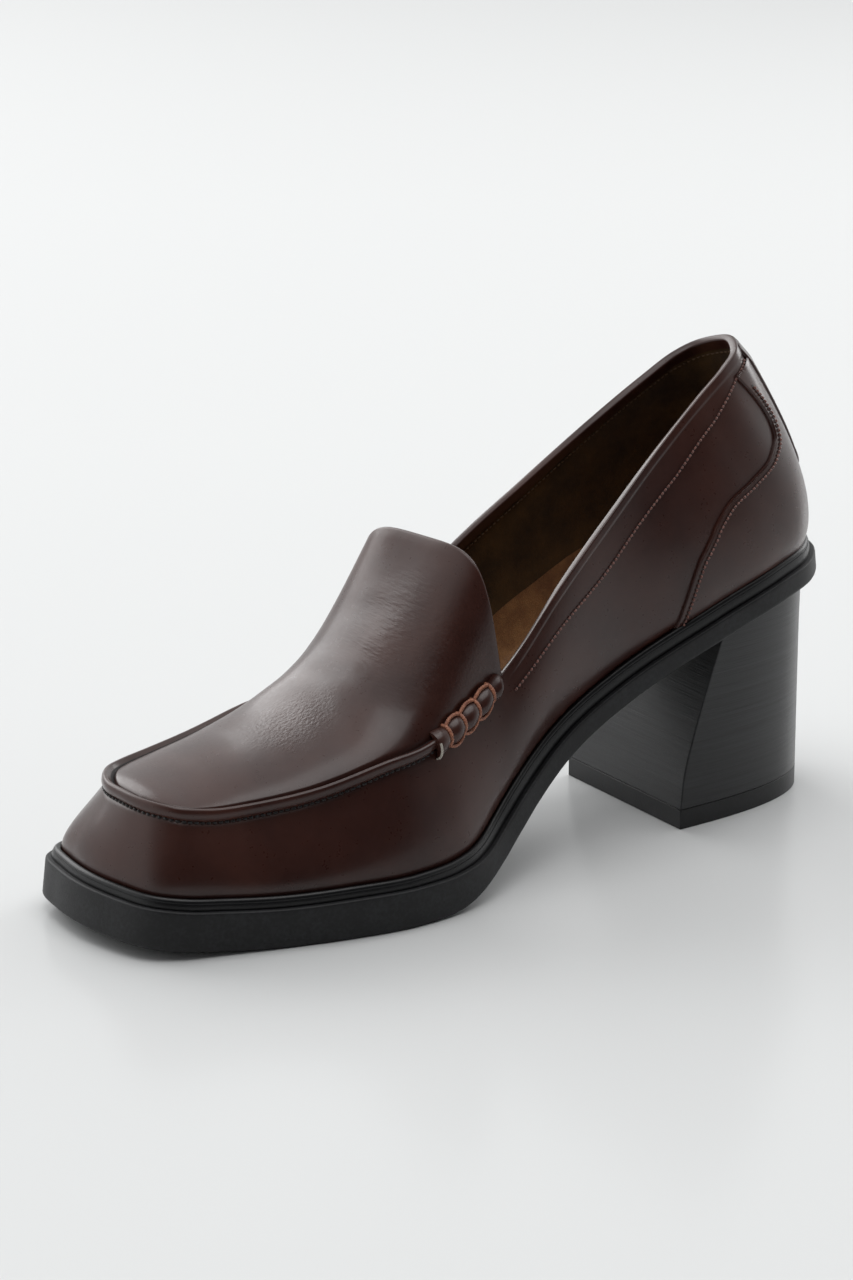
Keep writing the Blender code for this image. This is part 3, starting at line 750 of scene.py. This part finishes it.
# Napped split leather: soft and dry, its pile mottled where it has been brushed both ways.
insole_suede = mottled("tan_napped_leather", (7, 5.0, 0.65), (0.35, "#80583A"), (0.68, "#A87B50"),
                       (0.35, 6.0, 0.75), 0.22, roughness=0.9, ior=1.45, specular_ior_level=0.2,
                       sheen_weight=0.35, sheen_roughness=0.45)
insole_half = half_stations(INSOLE_COLUMN)
insole_inset = UPPER_INSET + WALL_THICK + INSOLE_CLEAR
bed_left = plan(insole_half, insole_inset)[0][:, None]
bed_right = plan(FULL_TURN - insole_half, insole_inset)[0][:, None]
bed_across = (1 - np.cos(np.linspace(0, math.pi, 45)))[None, :, None] / 2
bed_plan = bed_left * (1 - bed_across) + bed_right * bed_across
bed_top = on_sole(bed_plan, feather_height(bed_plan[..., 0]) + INSOLE_THICK)
bed_bottom = on_sole(bed_plan, feather_height(bed_plan[..., 0]))


def bed_curl(side):
    """The footbed's cover turned up against the wall beside the arch, and barely elsewhere."""
    edge = bed_top[:, 0] if side > 0 else bed_top[:, -1]
    station = insole_half if side > 0 else FULL_TURN - insole_half
    rise = smooth(CURL_X, CURL_RISE, edge[:, 0])
    steps = np.linspace(0, 0.6, 61)
    heights = wall(station[:, None], steps[None, :])[..., 2]
    share = np.array([np.interp(z + up, h, steps) for z, up, h in zip(edge[:, 2], rise, heights)])
    top = wall(station, share, LINING_PROUD - CURL_TOP_GAP)
    corner = wall(station, share * CURL_CORNER_SHARE, LINING_PROUD - CURL_CORNER_GAP)
    corner[:, 2] = np.minimum(edge[:, 2] + CURL_CORNER_LIFT * rise, corner[:, 2])
    t = np.linspace(0, 1, 13)[None, :, None]
    return edge[:, None] * (1 - t) ** 2 + corner[:, None] * 2 * t * (1 - t) + top[:, None] * t * t


insole = make_piece("insole_cover",
                    [sheet(rows) for rows in (bed_top, bed_bottom, bed_curl(1), bed_curl(-1))],
                    [insole_suede])
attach(insole, "root")
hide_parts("insole")


# Apron seam: the walls' edge and the apron's are sewn together standing up, which leaves a raised
# ridge round the toe with a deep crease inside it and a row of small dark stitches below.
SEAM_FOOT_IN = 1.7
SEAM_SLOPE = 0.75
SEAM_HEIGHT = 2.4
SEAM_SINK = 0.35
# Faces across the section from this one on, the ridge's inner flank, are painted near black as the crease's
# shade.
SEAM_SHADE_FROM = 19
SEAM_END = 8.0
SEAM_SECTION = (
    # share across  share of the height
    (0.00, -0.10),
    (0.00,  0.24),
    (0.04,  0.50),
    (0.13,  0.76),
    (0.27,  0.97),
    (0.44,  1.12),
    (0.60,  1.19),
    (0.73,  1.18),
    (0.83,  1.06),
    (0.88,  0.95),
    (0.90,  0.50),
    (0.91,  0.00),
    (0.92, -0.50),
    (0.93, -1.00),
)
apron_tree = BVHTree.FromPolygons(full_apron.reshape(-1, 3).tolist(), sheet(full_apron)[1].tolist())


def seam_frame(station, foot_out, foot_in):
    """Feet of the seam on the wall and on the apron, and the direction that it stands in."""
    crease = wall(station, 1.0)
    nudge = 0.03
    along = wall(station + nudge, 1.0) - wall(station - nudge, 1.0)
    wall_feet = wall(station, 1 - foot_out * share_per_mm(station))
    up = np.array([0, 0, 1.0])
    inward = unit(np.cross(along, up))
    targets = crease + (inward + up) * (foot_in * SEAM_SLOPE)[:, None]
    apron_feet = np.array([tuple(apron_tree.find_nearest(t)[0]) for t in targets.tolist()])
    out = unit(np.cross(along, apron_feet - wall_feet))
    return wall_feet, apron_feet, out * np.sign(out[:, 2:])


def read_table(table, t):
    """A table's two columns read as one smooth path, with t counting its rows."""
    keys = np.arange(len(table))
    return [smooth(keys, [row[k] for row in table], t) for k in (0, 1)]


seam_half = wall_half[wall_half > SEAM_END]
seam_station = np.concatenate([[SEAM_END], seam_half, FULL_TURN - seam_half[-2::-1], [FULL_TURN - SEAM_END]])
ones = np.ones(len(seam_station))
foot_a, foot_b, stand = seam_frame(seam_station, ones * SEAM_FOOT_OUT, ones * SEAM_FOOT_IN)
section_across, section_height = read_table(SEAM_SECTION, np.linspace(0, len(SEAM_SECTION) - 1, 25))
seam_rows = (foot_a[:, None] + (foot_b - foot_a)[:, None] * section_across[None, :, None]
             + stand[:, None] * (SEAM_HEIGHT * section_height - SEAM_SINK)[None, :, None])
# Painted shade: the ridge's inner flank is coloured flat near black, so the crease inside the ridge reads as
# a dark line of shade.
crease_shade_finish, _, _ = new_finish("inked_seam_edge", base_color=hex_colour("#140A09"), roughness=0.65)
seam_points, seam_faces = sheet(seam_rows)
# Faces on the ridge's inner flank take the near-black painted shade, the rest take the calf.
seam_calf_or_shade = (np.arange(len(seam_faces)) % (len(section_across) - 1) >= SEAM_SHADE_FROM).astype(int)
seam = make_piece("apron_seam_ridge", [(seam_points, seam_faces, seam_calf_or_shade)], [calf, crease_shade_finish], crisp=60)
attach(seam, "root")
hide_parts("moc_seam")


# Stitches: bonded nylon thread, locked every millimetre or so. The seam round the apron is sewn in
# near-black thread down in the groove, its darkness partly the thread's own and partly painted shade
# under the ridge, and the collar and the overlays in red-brown. The needle holes are flat near-black
# discs of painted shade.
STITCH_SIDES = 6
STITCH_RINGS = 5
SEAM_STITCH = (1.7, 1.25, 0.8)
COLLAR_STITCH = (1.4, 1.05, 0.72)
LINING_STITCH = (1.5, 1.1, 0.5)
# The dark discs at the needle holes are painted shade.
COLLAR_HOLE_SHADE = 0.95
COLLAR_THREAD_PROUD = 0.28
HOLE_SHADE_PROUD = 0.05
COLLAR_STITCHES = (
    # station  share
    (6.86, 0.814), (6.62, 0.799), (6.06, 0.769), (5.33, 0.739), (4.61, 0.774), (3.87, 0.804),
    (3.35, 0.834), (2.75, 0.864), (1.98, 0.915), (1.60, 0.928), (0.98, 0.940),
)


def resample(points, pitch):
    """Where along a path each stitch starts, as lengths, with a function that reads the path."""
    run = run_along(points)

    def at(values, length):
        return np.stack([np.interp(length, run, values[:, k]) for k in range(3)], -1)

    return np.arange(0, run[-1] - pitch, pitch), at


def stitch_row(points, normals, pitch, length, thick):
    """Rounded stitches lying end to end along a path, each dipping into the leather at its ends."""
    starts, at = resample(points, pitch)
    angle = np.linspace(0, 2 * math.pi, STITCH_SIDES, endpoint=False)
    tangent = unit(at(points, starts + length) - at(points, starts))
    rings = []
    for t in np.linspace(0, 1, STITCH_RINGS):
        swell = math.sin(math.pi * (0.12 + 0.76 * t)) ** 0.5 * thick / 2
        dip = (math.sin(math.pi * t) - 0.6) * thick * 0.35
        normal = at(normals, starts + length * t)
        side = np.cross(tangent, normal)
        rings.append(at(points, starts + length * t)[:, None]
                     + normal[:, None] * (dip + swell * np.sin(angle))[None, :, None]
                     + side[:, None] * (swell * np.cos(angle))[None, :, None])
    size = STITCH_RINGS * STITCH_SIDES
    ends = np.array([[0, 1, 2, 3], [0, 3, 4, 5]])
    one = np.concatenate([sheet(np.zeros((STITCH_RINGS, STITCH_SIDES, 3)), closed=True)[1],
                          ends[:, ::-1], ends + size - STITCH_SIDES])
    faces = one[None] + (np.arange(len(starts)) * size)[:, None, None]
    return np.stack(rings, 1).reshape(-1, 3), faces.reshape(-1, 4)


def sewing_thread(name, colour, pale):
    """Twisted nylon thread: slightly glossy, paler on the crown of the twist."""
    return mottled(name, (0.7, 3.0), (0.35, colour), (0.68, pale), (0.7, 3.0), 0.08,
                   roughness=0.5, ior=1.53, sheen_weight=0.2)


red_thread = sewing_thread("red_brown_nylon_thread", "#5E362D", "#84554A")
# Near black: the dark thread's own colour, and also painted shade in the groove under the apron ridge and at
# the needle holes.
dark_thread_and_shade = sewing_thread("black_brown_nylon_thread", "#070404", "#140B09")

groove_share = 1 - (SEAM_FOOT_OUT + 0.25) * share_per_mm(seam_station)
groove_normals = wall_normal(seam_station, groove_share)
groove_path = wall(seam_station, groove_share, -0.05)
seam_stitches = make_piece("apron_seam_stitches", [stitch_row(groove_path, groove_normals, *SEAM_STITCH)],
                           [dark_thread_and_shade], welded=False)
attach(seam_stitches, "root")


def needle_hole_shade(points, normals, pitch, length, size):
    """Painted shade at the needle holes: flat dark discs on the leather where the thread goes down, between
    one stitch and the next.
    """
    starts, at = resample(points, pitch)
    middle = starts + length + (pitch - length) / 2
    centre = at(points, middle)
    tangent = unit(at(points, middle + 0.2) - at(points, middle - 0.2))
    side = np.cross(tangent, at(normals, middle))
    angle = np.linspace(0, 2 * math.pi, 8, endpoint=False)
    rims = centre[:, None] + size / 2 * (tangent[:, None] * 0.7 * np.cos(angle)[None, :, None]
                                         + side[:, None] * np.sin(angle)[None, :, None])
    one = np.array([[0, 1, 2, 7], [2, 3, 6, 7], [3, 4, 5, 6]])
    faces = (one[None] + (np.arange(len(centre)) * 8)[:, None, None]).reshape(-1, 4)
    return rims.reshape(-1, 3), faces


def sewn_line(path, normals, proud, stitch, hole_shade_size):
    """Stitches standing proud of a path on the leather, and flat dark discs of painted shade at the needle
    holes between them.
    """
    return [stitch_row(path + normals * proud, normals, *stitch),
            needle_hole_shade(path + normals * HOLE_SHADE_PROUD, normals, *stitch[:2], hole_shade_size) + (1,)]


collar_rows = []
collar_station, collar_share = read_table(COLLAR_STITCHES, np.linspace(0, len(COLLAR_STITCHES) - 1, 400))
for station in (collar_station, FULL_TURN - collar_station):
    collar_rows += sewn_line(wall(station, collar_share), wall_normal(station, collar_share),
                             COLLAR_THREAD_PROUD, COLLAR_STITCH, COLLAR_HOLE_SHADE)
collar_stitches = make_piece("collar_stitches", collar_rows, [red_thread, dark_thread_and_shade], welded=False)
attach(collar_stitches, "root")

tan_thread = sewing_thread("tan_nylon_thread", "#5E4630", "#7E6244")
lining_rows = []
for side in (1, -1):
    s = np.linspace(0.05, THROAT, 300) * side
    share = 1 - (FOLD_ROUND + FOLD_DEEP + 1.6) * share_per_mm(s)
    path = wall(s, share, LINING_PROUD - 0.08)
    lining_rows.append(stitch_row(path, -wall_normal(s, share), *LINING_STITCH))
lining_stitches = make_piece("lining_stitches", lining_rows, [tan_thread], welded=False)
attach(lining_stitches, "root")


# Side rolls: at the apron's two rear corners the seam's edges are rolled over and whipped with four
# turns of thick copper-brown thread, which pinch the leather into small pillows.
ROLL_FRONT = 8.0
ROLL_REAR = 7.03
ROLL_FOOT_OUT = 4.0
ROLL_FOOT_IN = 3.3
ROLL_HEIGHT = 3.9
ROLL_WAIST = 0.68
ROLL_COLUMNS = 90
THREAD_TURNS = (0.19, 0.39, 0.59, 0.80)
THREAD_RADIUS = 0.6
THREAD_SIDES = 8
THREAD_TWIST = 1.3
CUT_EDGE = 0.75


def roll_swell(t):
    """How full the roll is along its length: a lip, three pillows and a rounded cap."""
    stops = (-0.12,) + THREAD_TURNS + (1.10,)
    full = np.zeros_like(t)
    for start, end in zip(stops, stops[1:]):
        inside = (t >= start) & (t <= end)
        full = np.where(inside, np.abs(np.sin(math.pi * (t - start) / (end - start))) ** 0.55, full)
    body = ROLL_WAIST + (1 - ROLL_WAIST) * full
    cap = np.sqrt(np.clip(1 - ((t - 0.88) / 0.12) ** 2, 0, 1))
    return body * np.where(t > 0.88, cap, 1.0)


def roll_surface(t, angle, inner, proud=0.0):
    """Points on a side roll: t from front to rear, angle from the wall (0) over to the apron (pi)."""
    station = ROLL_FRONT + (ROLL_REAR - ROLL_FRONT) * t
    if inner:
        station = FULL_TURN - station
    swell = roll_swell(t)
    wide = np.maximum(swell, 0.35)
    feet_a, feet_b, out = seam_frame(station, ROLL_FOOT_OUT * wide, ROLL_FOOT_IN * wide)
    middle = (feet_a + feet_b) / 2
    half = (feet_b - feet_a) / 2
    reach = np.linalg.norm(half, axis=1)
    across_part = -(reach + proud)[:, None] * np.cos(angle)[:, None] * unit(half)
    up_part = (ROLL_HEIGHT * swell + proud)[:, None] * np.sin(angle)[:, None] * out
    return middle + across_part + up_part


def thread_tube(path, radius):
    """A thread along a path: two plies twisted together, their ends tucked in."""
    tangent = unit(np.gradient(path, axis=0))
    side = unit(np.cross(tangent, (0.0, 0.0, 1.0)))
    lift = np.cross(side, tangent)
    angle = np.linspace(0, 2 * math.pi, THREAD_SIDES * 2, endpoint=False)
    twist = 2 * math.pi * run_along(path)[:, None] / THREAD_TWIST
    ply = radius * (0.86 + 0.14 * np.cos(2 * (angle - twist)))
    spokes = np.cos(angle)[:, None] * side[:, None] + np.sin(angle)[:, None] * lift[:, None]
    return sheet(path[:, None] + ply[..., None] * spokes, closed=True)


def roll_threads(inner):
    """The thread's turns over one roll and its loops along both feet."""
    tubes = []
    over = np.linspace(math.radians(-8), math.radians(188), 48)
    for turn in THREAD_TURNS:
        path = roll_surface(np.full(len(over), turn), over, inner, proud=THREAD_RADIUS * 0.75)
        tubes.append(thread_tube(path, THREAD_RADIUS))
    for start, end in zip(THREAD_TURNS, THREAD_TURNS[1:]):
        t = np.linspace(start, end, 26)
        bow = np.sin(np.linspace(0, math.pi, 26))
        for foot, swing in ((math.radians(24), -1), (math.radians(154), 1)):
            angle = foot + swing * np.radians(9) * bow
            path = roll_surface(t, angle, inner, proud=THREAD_RADIUS * (0.75 + 0.2 * bow))
            tubes.append(thread_tube(path, THREAD_RADIUS * 0.95))
    return tubes


def cut_edge(inner):
    """The raw cream edge of the leather that shows at the front of a roll."""
    angle = np.linspace(math.radians(-8), math.radians(96), 30)
    path = roll_surface(np.full(30, 0.008), angle, inner, proud=0.2)
    return thread_tube(path, CUT_EDGE / 2) + (1,)


copper_thread = sewing_thread("waxed_copper_thread", "#8A4F38", "#B8795A")
raw_edge = sewing_thread("raw_cream_leather_edge", "#A79F94", "#CFC8BC")
roll_angles = np.linspace(0, math.pi, 31)
for name, node, inner in (("side_roll_outer", "roll_outer", False), ("side_roll_inner", "roll_inner", True)):
    t = np.linspace(0, 1, ROLL_COLUMNS + 1)
    rows = np.stack([roll_surface(t, np.full(len(t), a), inner) for a in roll_angles], 1)
    front = rows[:1].mean(1, keepdims=True) * np.ones_like(rows[:1])
    rows = np.concatenate([front, rows])
    roll = make_piece(name, [sheet(rows)], [calf], crisp=60)
    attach(roll, "root")
    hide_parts(node)
    threads = make_piece(name + "_threads", roll_threads(inner) + [cut_edge(inner)],
                         [copper_thread, raw_edge], crisp=80)
    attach(threads, "root")


# Counter: a second layer of the same calf over the heel, its front edge cut to an S, turned under
# and sewn down with one row of red-brown stitches.
COUNTER_FRONT = (
    # share  station
    (0.010, 4.44), (0.116, 4.38), (0.186, 4.33), (0.276, 4.24), (0.357, 4.12), (0.397, 4.02),
    (0.437, 3.86), (0.477, 3.70), (0.523, 3.38), (0.538, 2.95), (0.548, 2.60), (0.563, 2.30),
    (0.588, 2.06), (0.613, 1.82), (0.648, 1.68), (0.688, 1.61), (0.754, 1.62), (0.829, 1.71),
    (0.884, 1.82), (0.930, 1.90),
)
COUNTER_PROUD = 0.95
COUNTER_ROUND = 0.5
COUNTER_TUCK = 0.15
COUNTER_SPREAD = (0, 0.2, 0.4, 0.6, 0.75, 0.85, 0.91, 0.945, 0.965, 0.978, 0.986, 0.992, 0.996, 1)
COUNTER_STITCH = (1.4, 1.05, 0.70)
COUNTER_STITCH_INSET = 1.9
COUNTER_THREAD_PROUD = 0.26
# Size of the dark disc of painted shade at each needle hole.
COUNTER_HOLE_SHADE = 0.92


def counter_edge(samples):
    """Stations and shares along the counter's front edge, evenly spaced in millimetres."""
    share, station = read_table(COUNTER_FRONT, np.linspace(0, len(COUNTER_FRONT) - 1, 1200))
    run = run_along(wall(station, share))
    even = np.linspace(0, run[-1], samples)
    return np.interp(even, run, station), np.interp(even, run, share)


def overlay(edge_station, edge_share, top_samples, round_width):
    """Stations and shares over a piece laid on the wall, and how full it is: 0 at its edge, 1 inside."""
    station = edge_station[:, None] * spread[None, :]
    share = np.broadcast_to(edge_share[:, None], station.shape)
    top = np.linspace(-edge_station[-1], edge_station[-1], top_samples)
    border = np.concatenate([wall(edge_station, edge_share), wall(-edge_station, edge_share),
                             wall(top, edge_share[-1])])
    points = wall(station, share)
    near = np.min([np.linalg.norm(points[:, :, None] - part[None, None], axis=-1).min(-1)
                   for part in np.array_split(border, 8)], axis=0)
    return station, share, np.sqrt(1 - np.clip(1 - near / round_width, 0, 1) ** 2)


fine_spread = np.interp(np.linspace(0, 13, 53), np.arange(14), COUNTER_SPREAD)
spread = np.concatenate([-fine_spread[:0:-1], fine_spread])
edge_station, edge_share = counter_edge(150)
counter_station, counter_share, counter_full = overlay(edge_station, edge_share, 60, COUNTER_ROUND)
counter_rows = wall(counter_station, counter_share,
                    (COUNTER_PROUD + COUNTER_TUCK) * counter_full - COUNTER_TUCK)
counter = make_piece("calf_counter", [sheet(counter_rows)], [calf], crisp=75)
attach(counter, "root")
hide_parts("counter")

counter_stitch_rows = []
for side in (1, -1):
    line = wall(edge_station * side, edge_share)
    normal = wall_normal(edge_station * side, edge_share)
    inward = np.cross(unit(np.gradient(line, axis=0)), normal) * side
    path = line + inward * COUNTER_STITCH_INSET + normal * COUNTER_PROUD
    counter_stitch_rows += sewn_line(path[4:-10], normal[4:-10], COUNTER_THREAD_PROUD,
                                     COUNTER_STITCH, COUNTER_HOLE_SHADE)
counter_stitches = make_piece("counter_stitches", counter_stitch_rows, [red_thread, dark_thread_and_shade],
                              welded=False)
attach(counter_stitches, "root")


# Back strap: a narrow strip of calf over the back seam, its lower end rounded; the stitching down both sides
# is not drawn.
STRAP_SIDE = (
    # share  station
    (0.335, 0.06), (0.340, 0.30), (0.356, 0.52), (0.390, 0.72), (0.440, 0.84), (0.510, 0.88),
    (0.620, 0.88), (0.740, 0.86), (0.860, 0.84), (0.990, 0.82),
)
STRAP_PROUD = 1.6
STRAP_TAB = 0.7
STRAP_TAB_FADE = 0.14
STRAP_ROUND = 0.7
STRAP_TUCK = 0.2
STRAP_THIN_FROM = 0.90
STRAP_OFF_COUNTER = 0.94
STRAP_THIN_TO = 0.97
STRAP_THIN = 0.45
strap_share, strap_half = read_table(STRAP_SIDE, np.linspace(0, len(STRAP_SIDE) - 1, 90))
strap_station, strap_shares, strap_full = overlay(strap_half, strap_share, 40, STRAP_ROUND)
strap_under = np.interp(strap_shares, (STRAP_THIN_FROM, STRAP_OFF_COUNTER),
                        (COUNTER_PROUD - STRAP_TUCK, -STRAP_TUCK))
strap_tab = STRAP_TAB * np.clip(1 - (strap_shares - STRAP_SIDE[0][0]) / STRAP_TAB_FADE, 0, 1)
strap_proud = (STRAP_PROUD + strap_tab - strap_under) * strap_full + strap_under
strap_proud *= np.interp(strap_shares, (STRAP_THIN_FROM, STRAP_THIN_TO), (1.0, STRAP_THIN))
strap_rows = wall(strap_station, strap_shares, strap_proud)
strap = make_piece("calf_back_strap", [sheet(strap_rows)], [calf], crisp=75)
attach(strap, "root")
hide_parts("back_strap")


# Floor: a wide table of satin white board that fades into the room, with soft reflections in it.
FLOOR_FAR = 6.0
FLOOR_NEAR = 0.80
VIEW_TURN = math.radians(55.71)
toward_front = Vector((math.cos(VIEW_TURN), math.sin(VIEW_TURN), 0.0))
toward_side = Vector((-math.sin(VIEW_TURN), math.cos(VIEW_TURN), 0.0))
floor_mesh = bpy.data.meshes.new("studio_floor")
floor_mesh.from_pydata([toward_front * FLOOR_NEAR - toward_side * FLOOR_FAR,
                        toward_front * FLOOR_NEAR + toward_side * FLOOR_FAR,
                        toward_side * FLOOR_FAR - toward_front * FLOOR_FAR,
                        -toward_side * FLOOR_FAR - toward_front * FLOOR_FAR], [], [(0, 1, 2, 3)])
floor_board, _, _ = new_finish("satin_white_board", base_color=hex_colour("#E1E2E2"), roughness=0.20,
                               specular_ior_level=0.26)
floor_mesh.materials.append(floor_board)
floor = add_object("studio_floor", floor_mesh)


# Light: a room that is bright behind and above the shoe and dim on the camera's side, with a soft
# panel overhead and two behind; the large one to the left draws the sheen down tongue and toe.
ROOM_BRIGHT = (0.25, "#F2F3F3")
ROOM_DIM = (0.82, "#38383A")
ROOM_DIM_SIDE = (0.20, 0.89, 0.41)
ROOM_STRENGTH = 0.97
PANELS = (
    # name          place (m)             aimed at (m)        width  height  power
    ("back_left",  (0.35, -1.8, 1.05),   (0.03, 0.0, 0.04),   1.8,   1.2,    19.0),
    ("top",        (0.0, 0.1, 1.6),      (0.0, 0.0, 0.0),     1.2,   1.2,    8.5),
    ("back_right", (-1.6, -0.3, 0.7),    (-0.05, 0.0, 0.06),  0.7,   1.0,    7.0),
)
room = bpy.data.worlds.new("studio_room")
bpy.context.scene.world = room
room.use_nodes = True
sky = room.node_tree
for old in list(sky.nodes):
    sky.nodes.remove(old)
facing = add_node(sky, "TexCoord").outputs["Generated"]
toward = add_node(sky, "VectorMath", {0: facing, 1: ROOM_DIM_SIDE}, operation="DOT_PRODUCT")
room_tone = ramp(sky, toward.outputs["Value"], ROOM_BRIGHT, ROOM_DIM)
glow = add_node(sky, "Background", {"Color": room_tone, "Strength": ROOM_STRENGTH})
add_node(sky, "OutputWorld", {"Surface": glow.outputs["Background"]})
for name, spot, aim, width, height, power in PANELS:
    panel = bpy.data.lights.new(name, "AREA")
    panel.shape = "RECTANGLE"
    panel.size = width
    panel.size_y = height
    panel.energy = power
    lamp = add_object(name, panel)
    lamp.location = spot
    lamp.rotation_euler = (Vector(aim) - Vector(spot)).to_track_quat("-Z", "Y").to_euler()
bpy.context.scene.view_settings.view_transform = "Standard"


# Camera: a long lens at table height, in front of the shoe on its outer side, as in the photograph.
VIEW_RISE = math.radians(18.56)
VIEW_DISTANCE = 1004.1
VIEW_LENS = 100.0
VIEW_AIM = (115.0, 0.0, 45.0)
VIEW_SLIDE = (-11.0, 15.2)
back_way = toward_front * math.cos(VIEW_RISE) + Vector((0.0, 0.0, math.sin(VIEW_RISE)))
up_way = back_way.cross(toward_side)
eye = Vector(VIEW_AIM) + toward_side * VIEW_SLIDE[0] + up_way * VIEW_SLIDE[1] + back_way * VIEW_DISTANCE
lens = bpy.data.cameras.new("photo_camera")
lens.lens = VIEW_LENS
camera = add_object("photo_camera", lens)
camera.matrix_world = Matrix.Translation(Vector(place(eye))) @ Matrix(
    (toward_side, up_way, back_way)).transposed().to_4x4()
bpy.context.scene.camera = camera
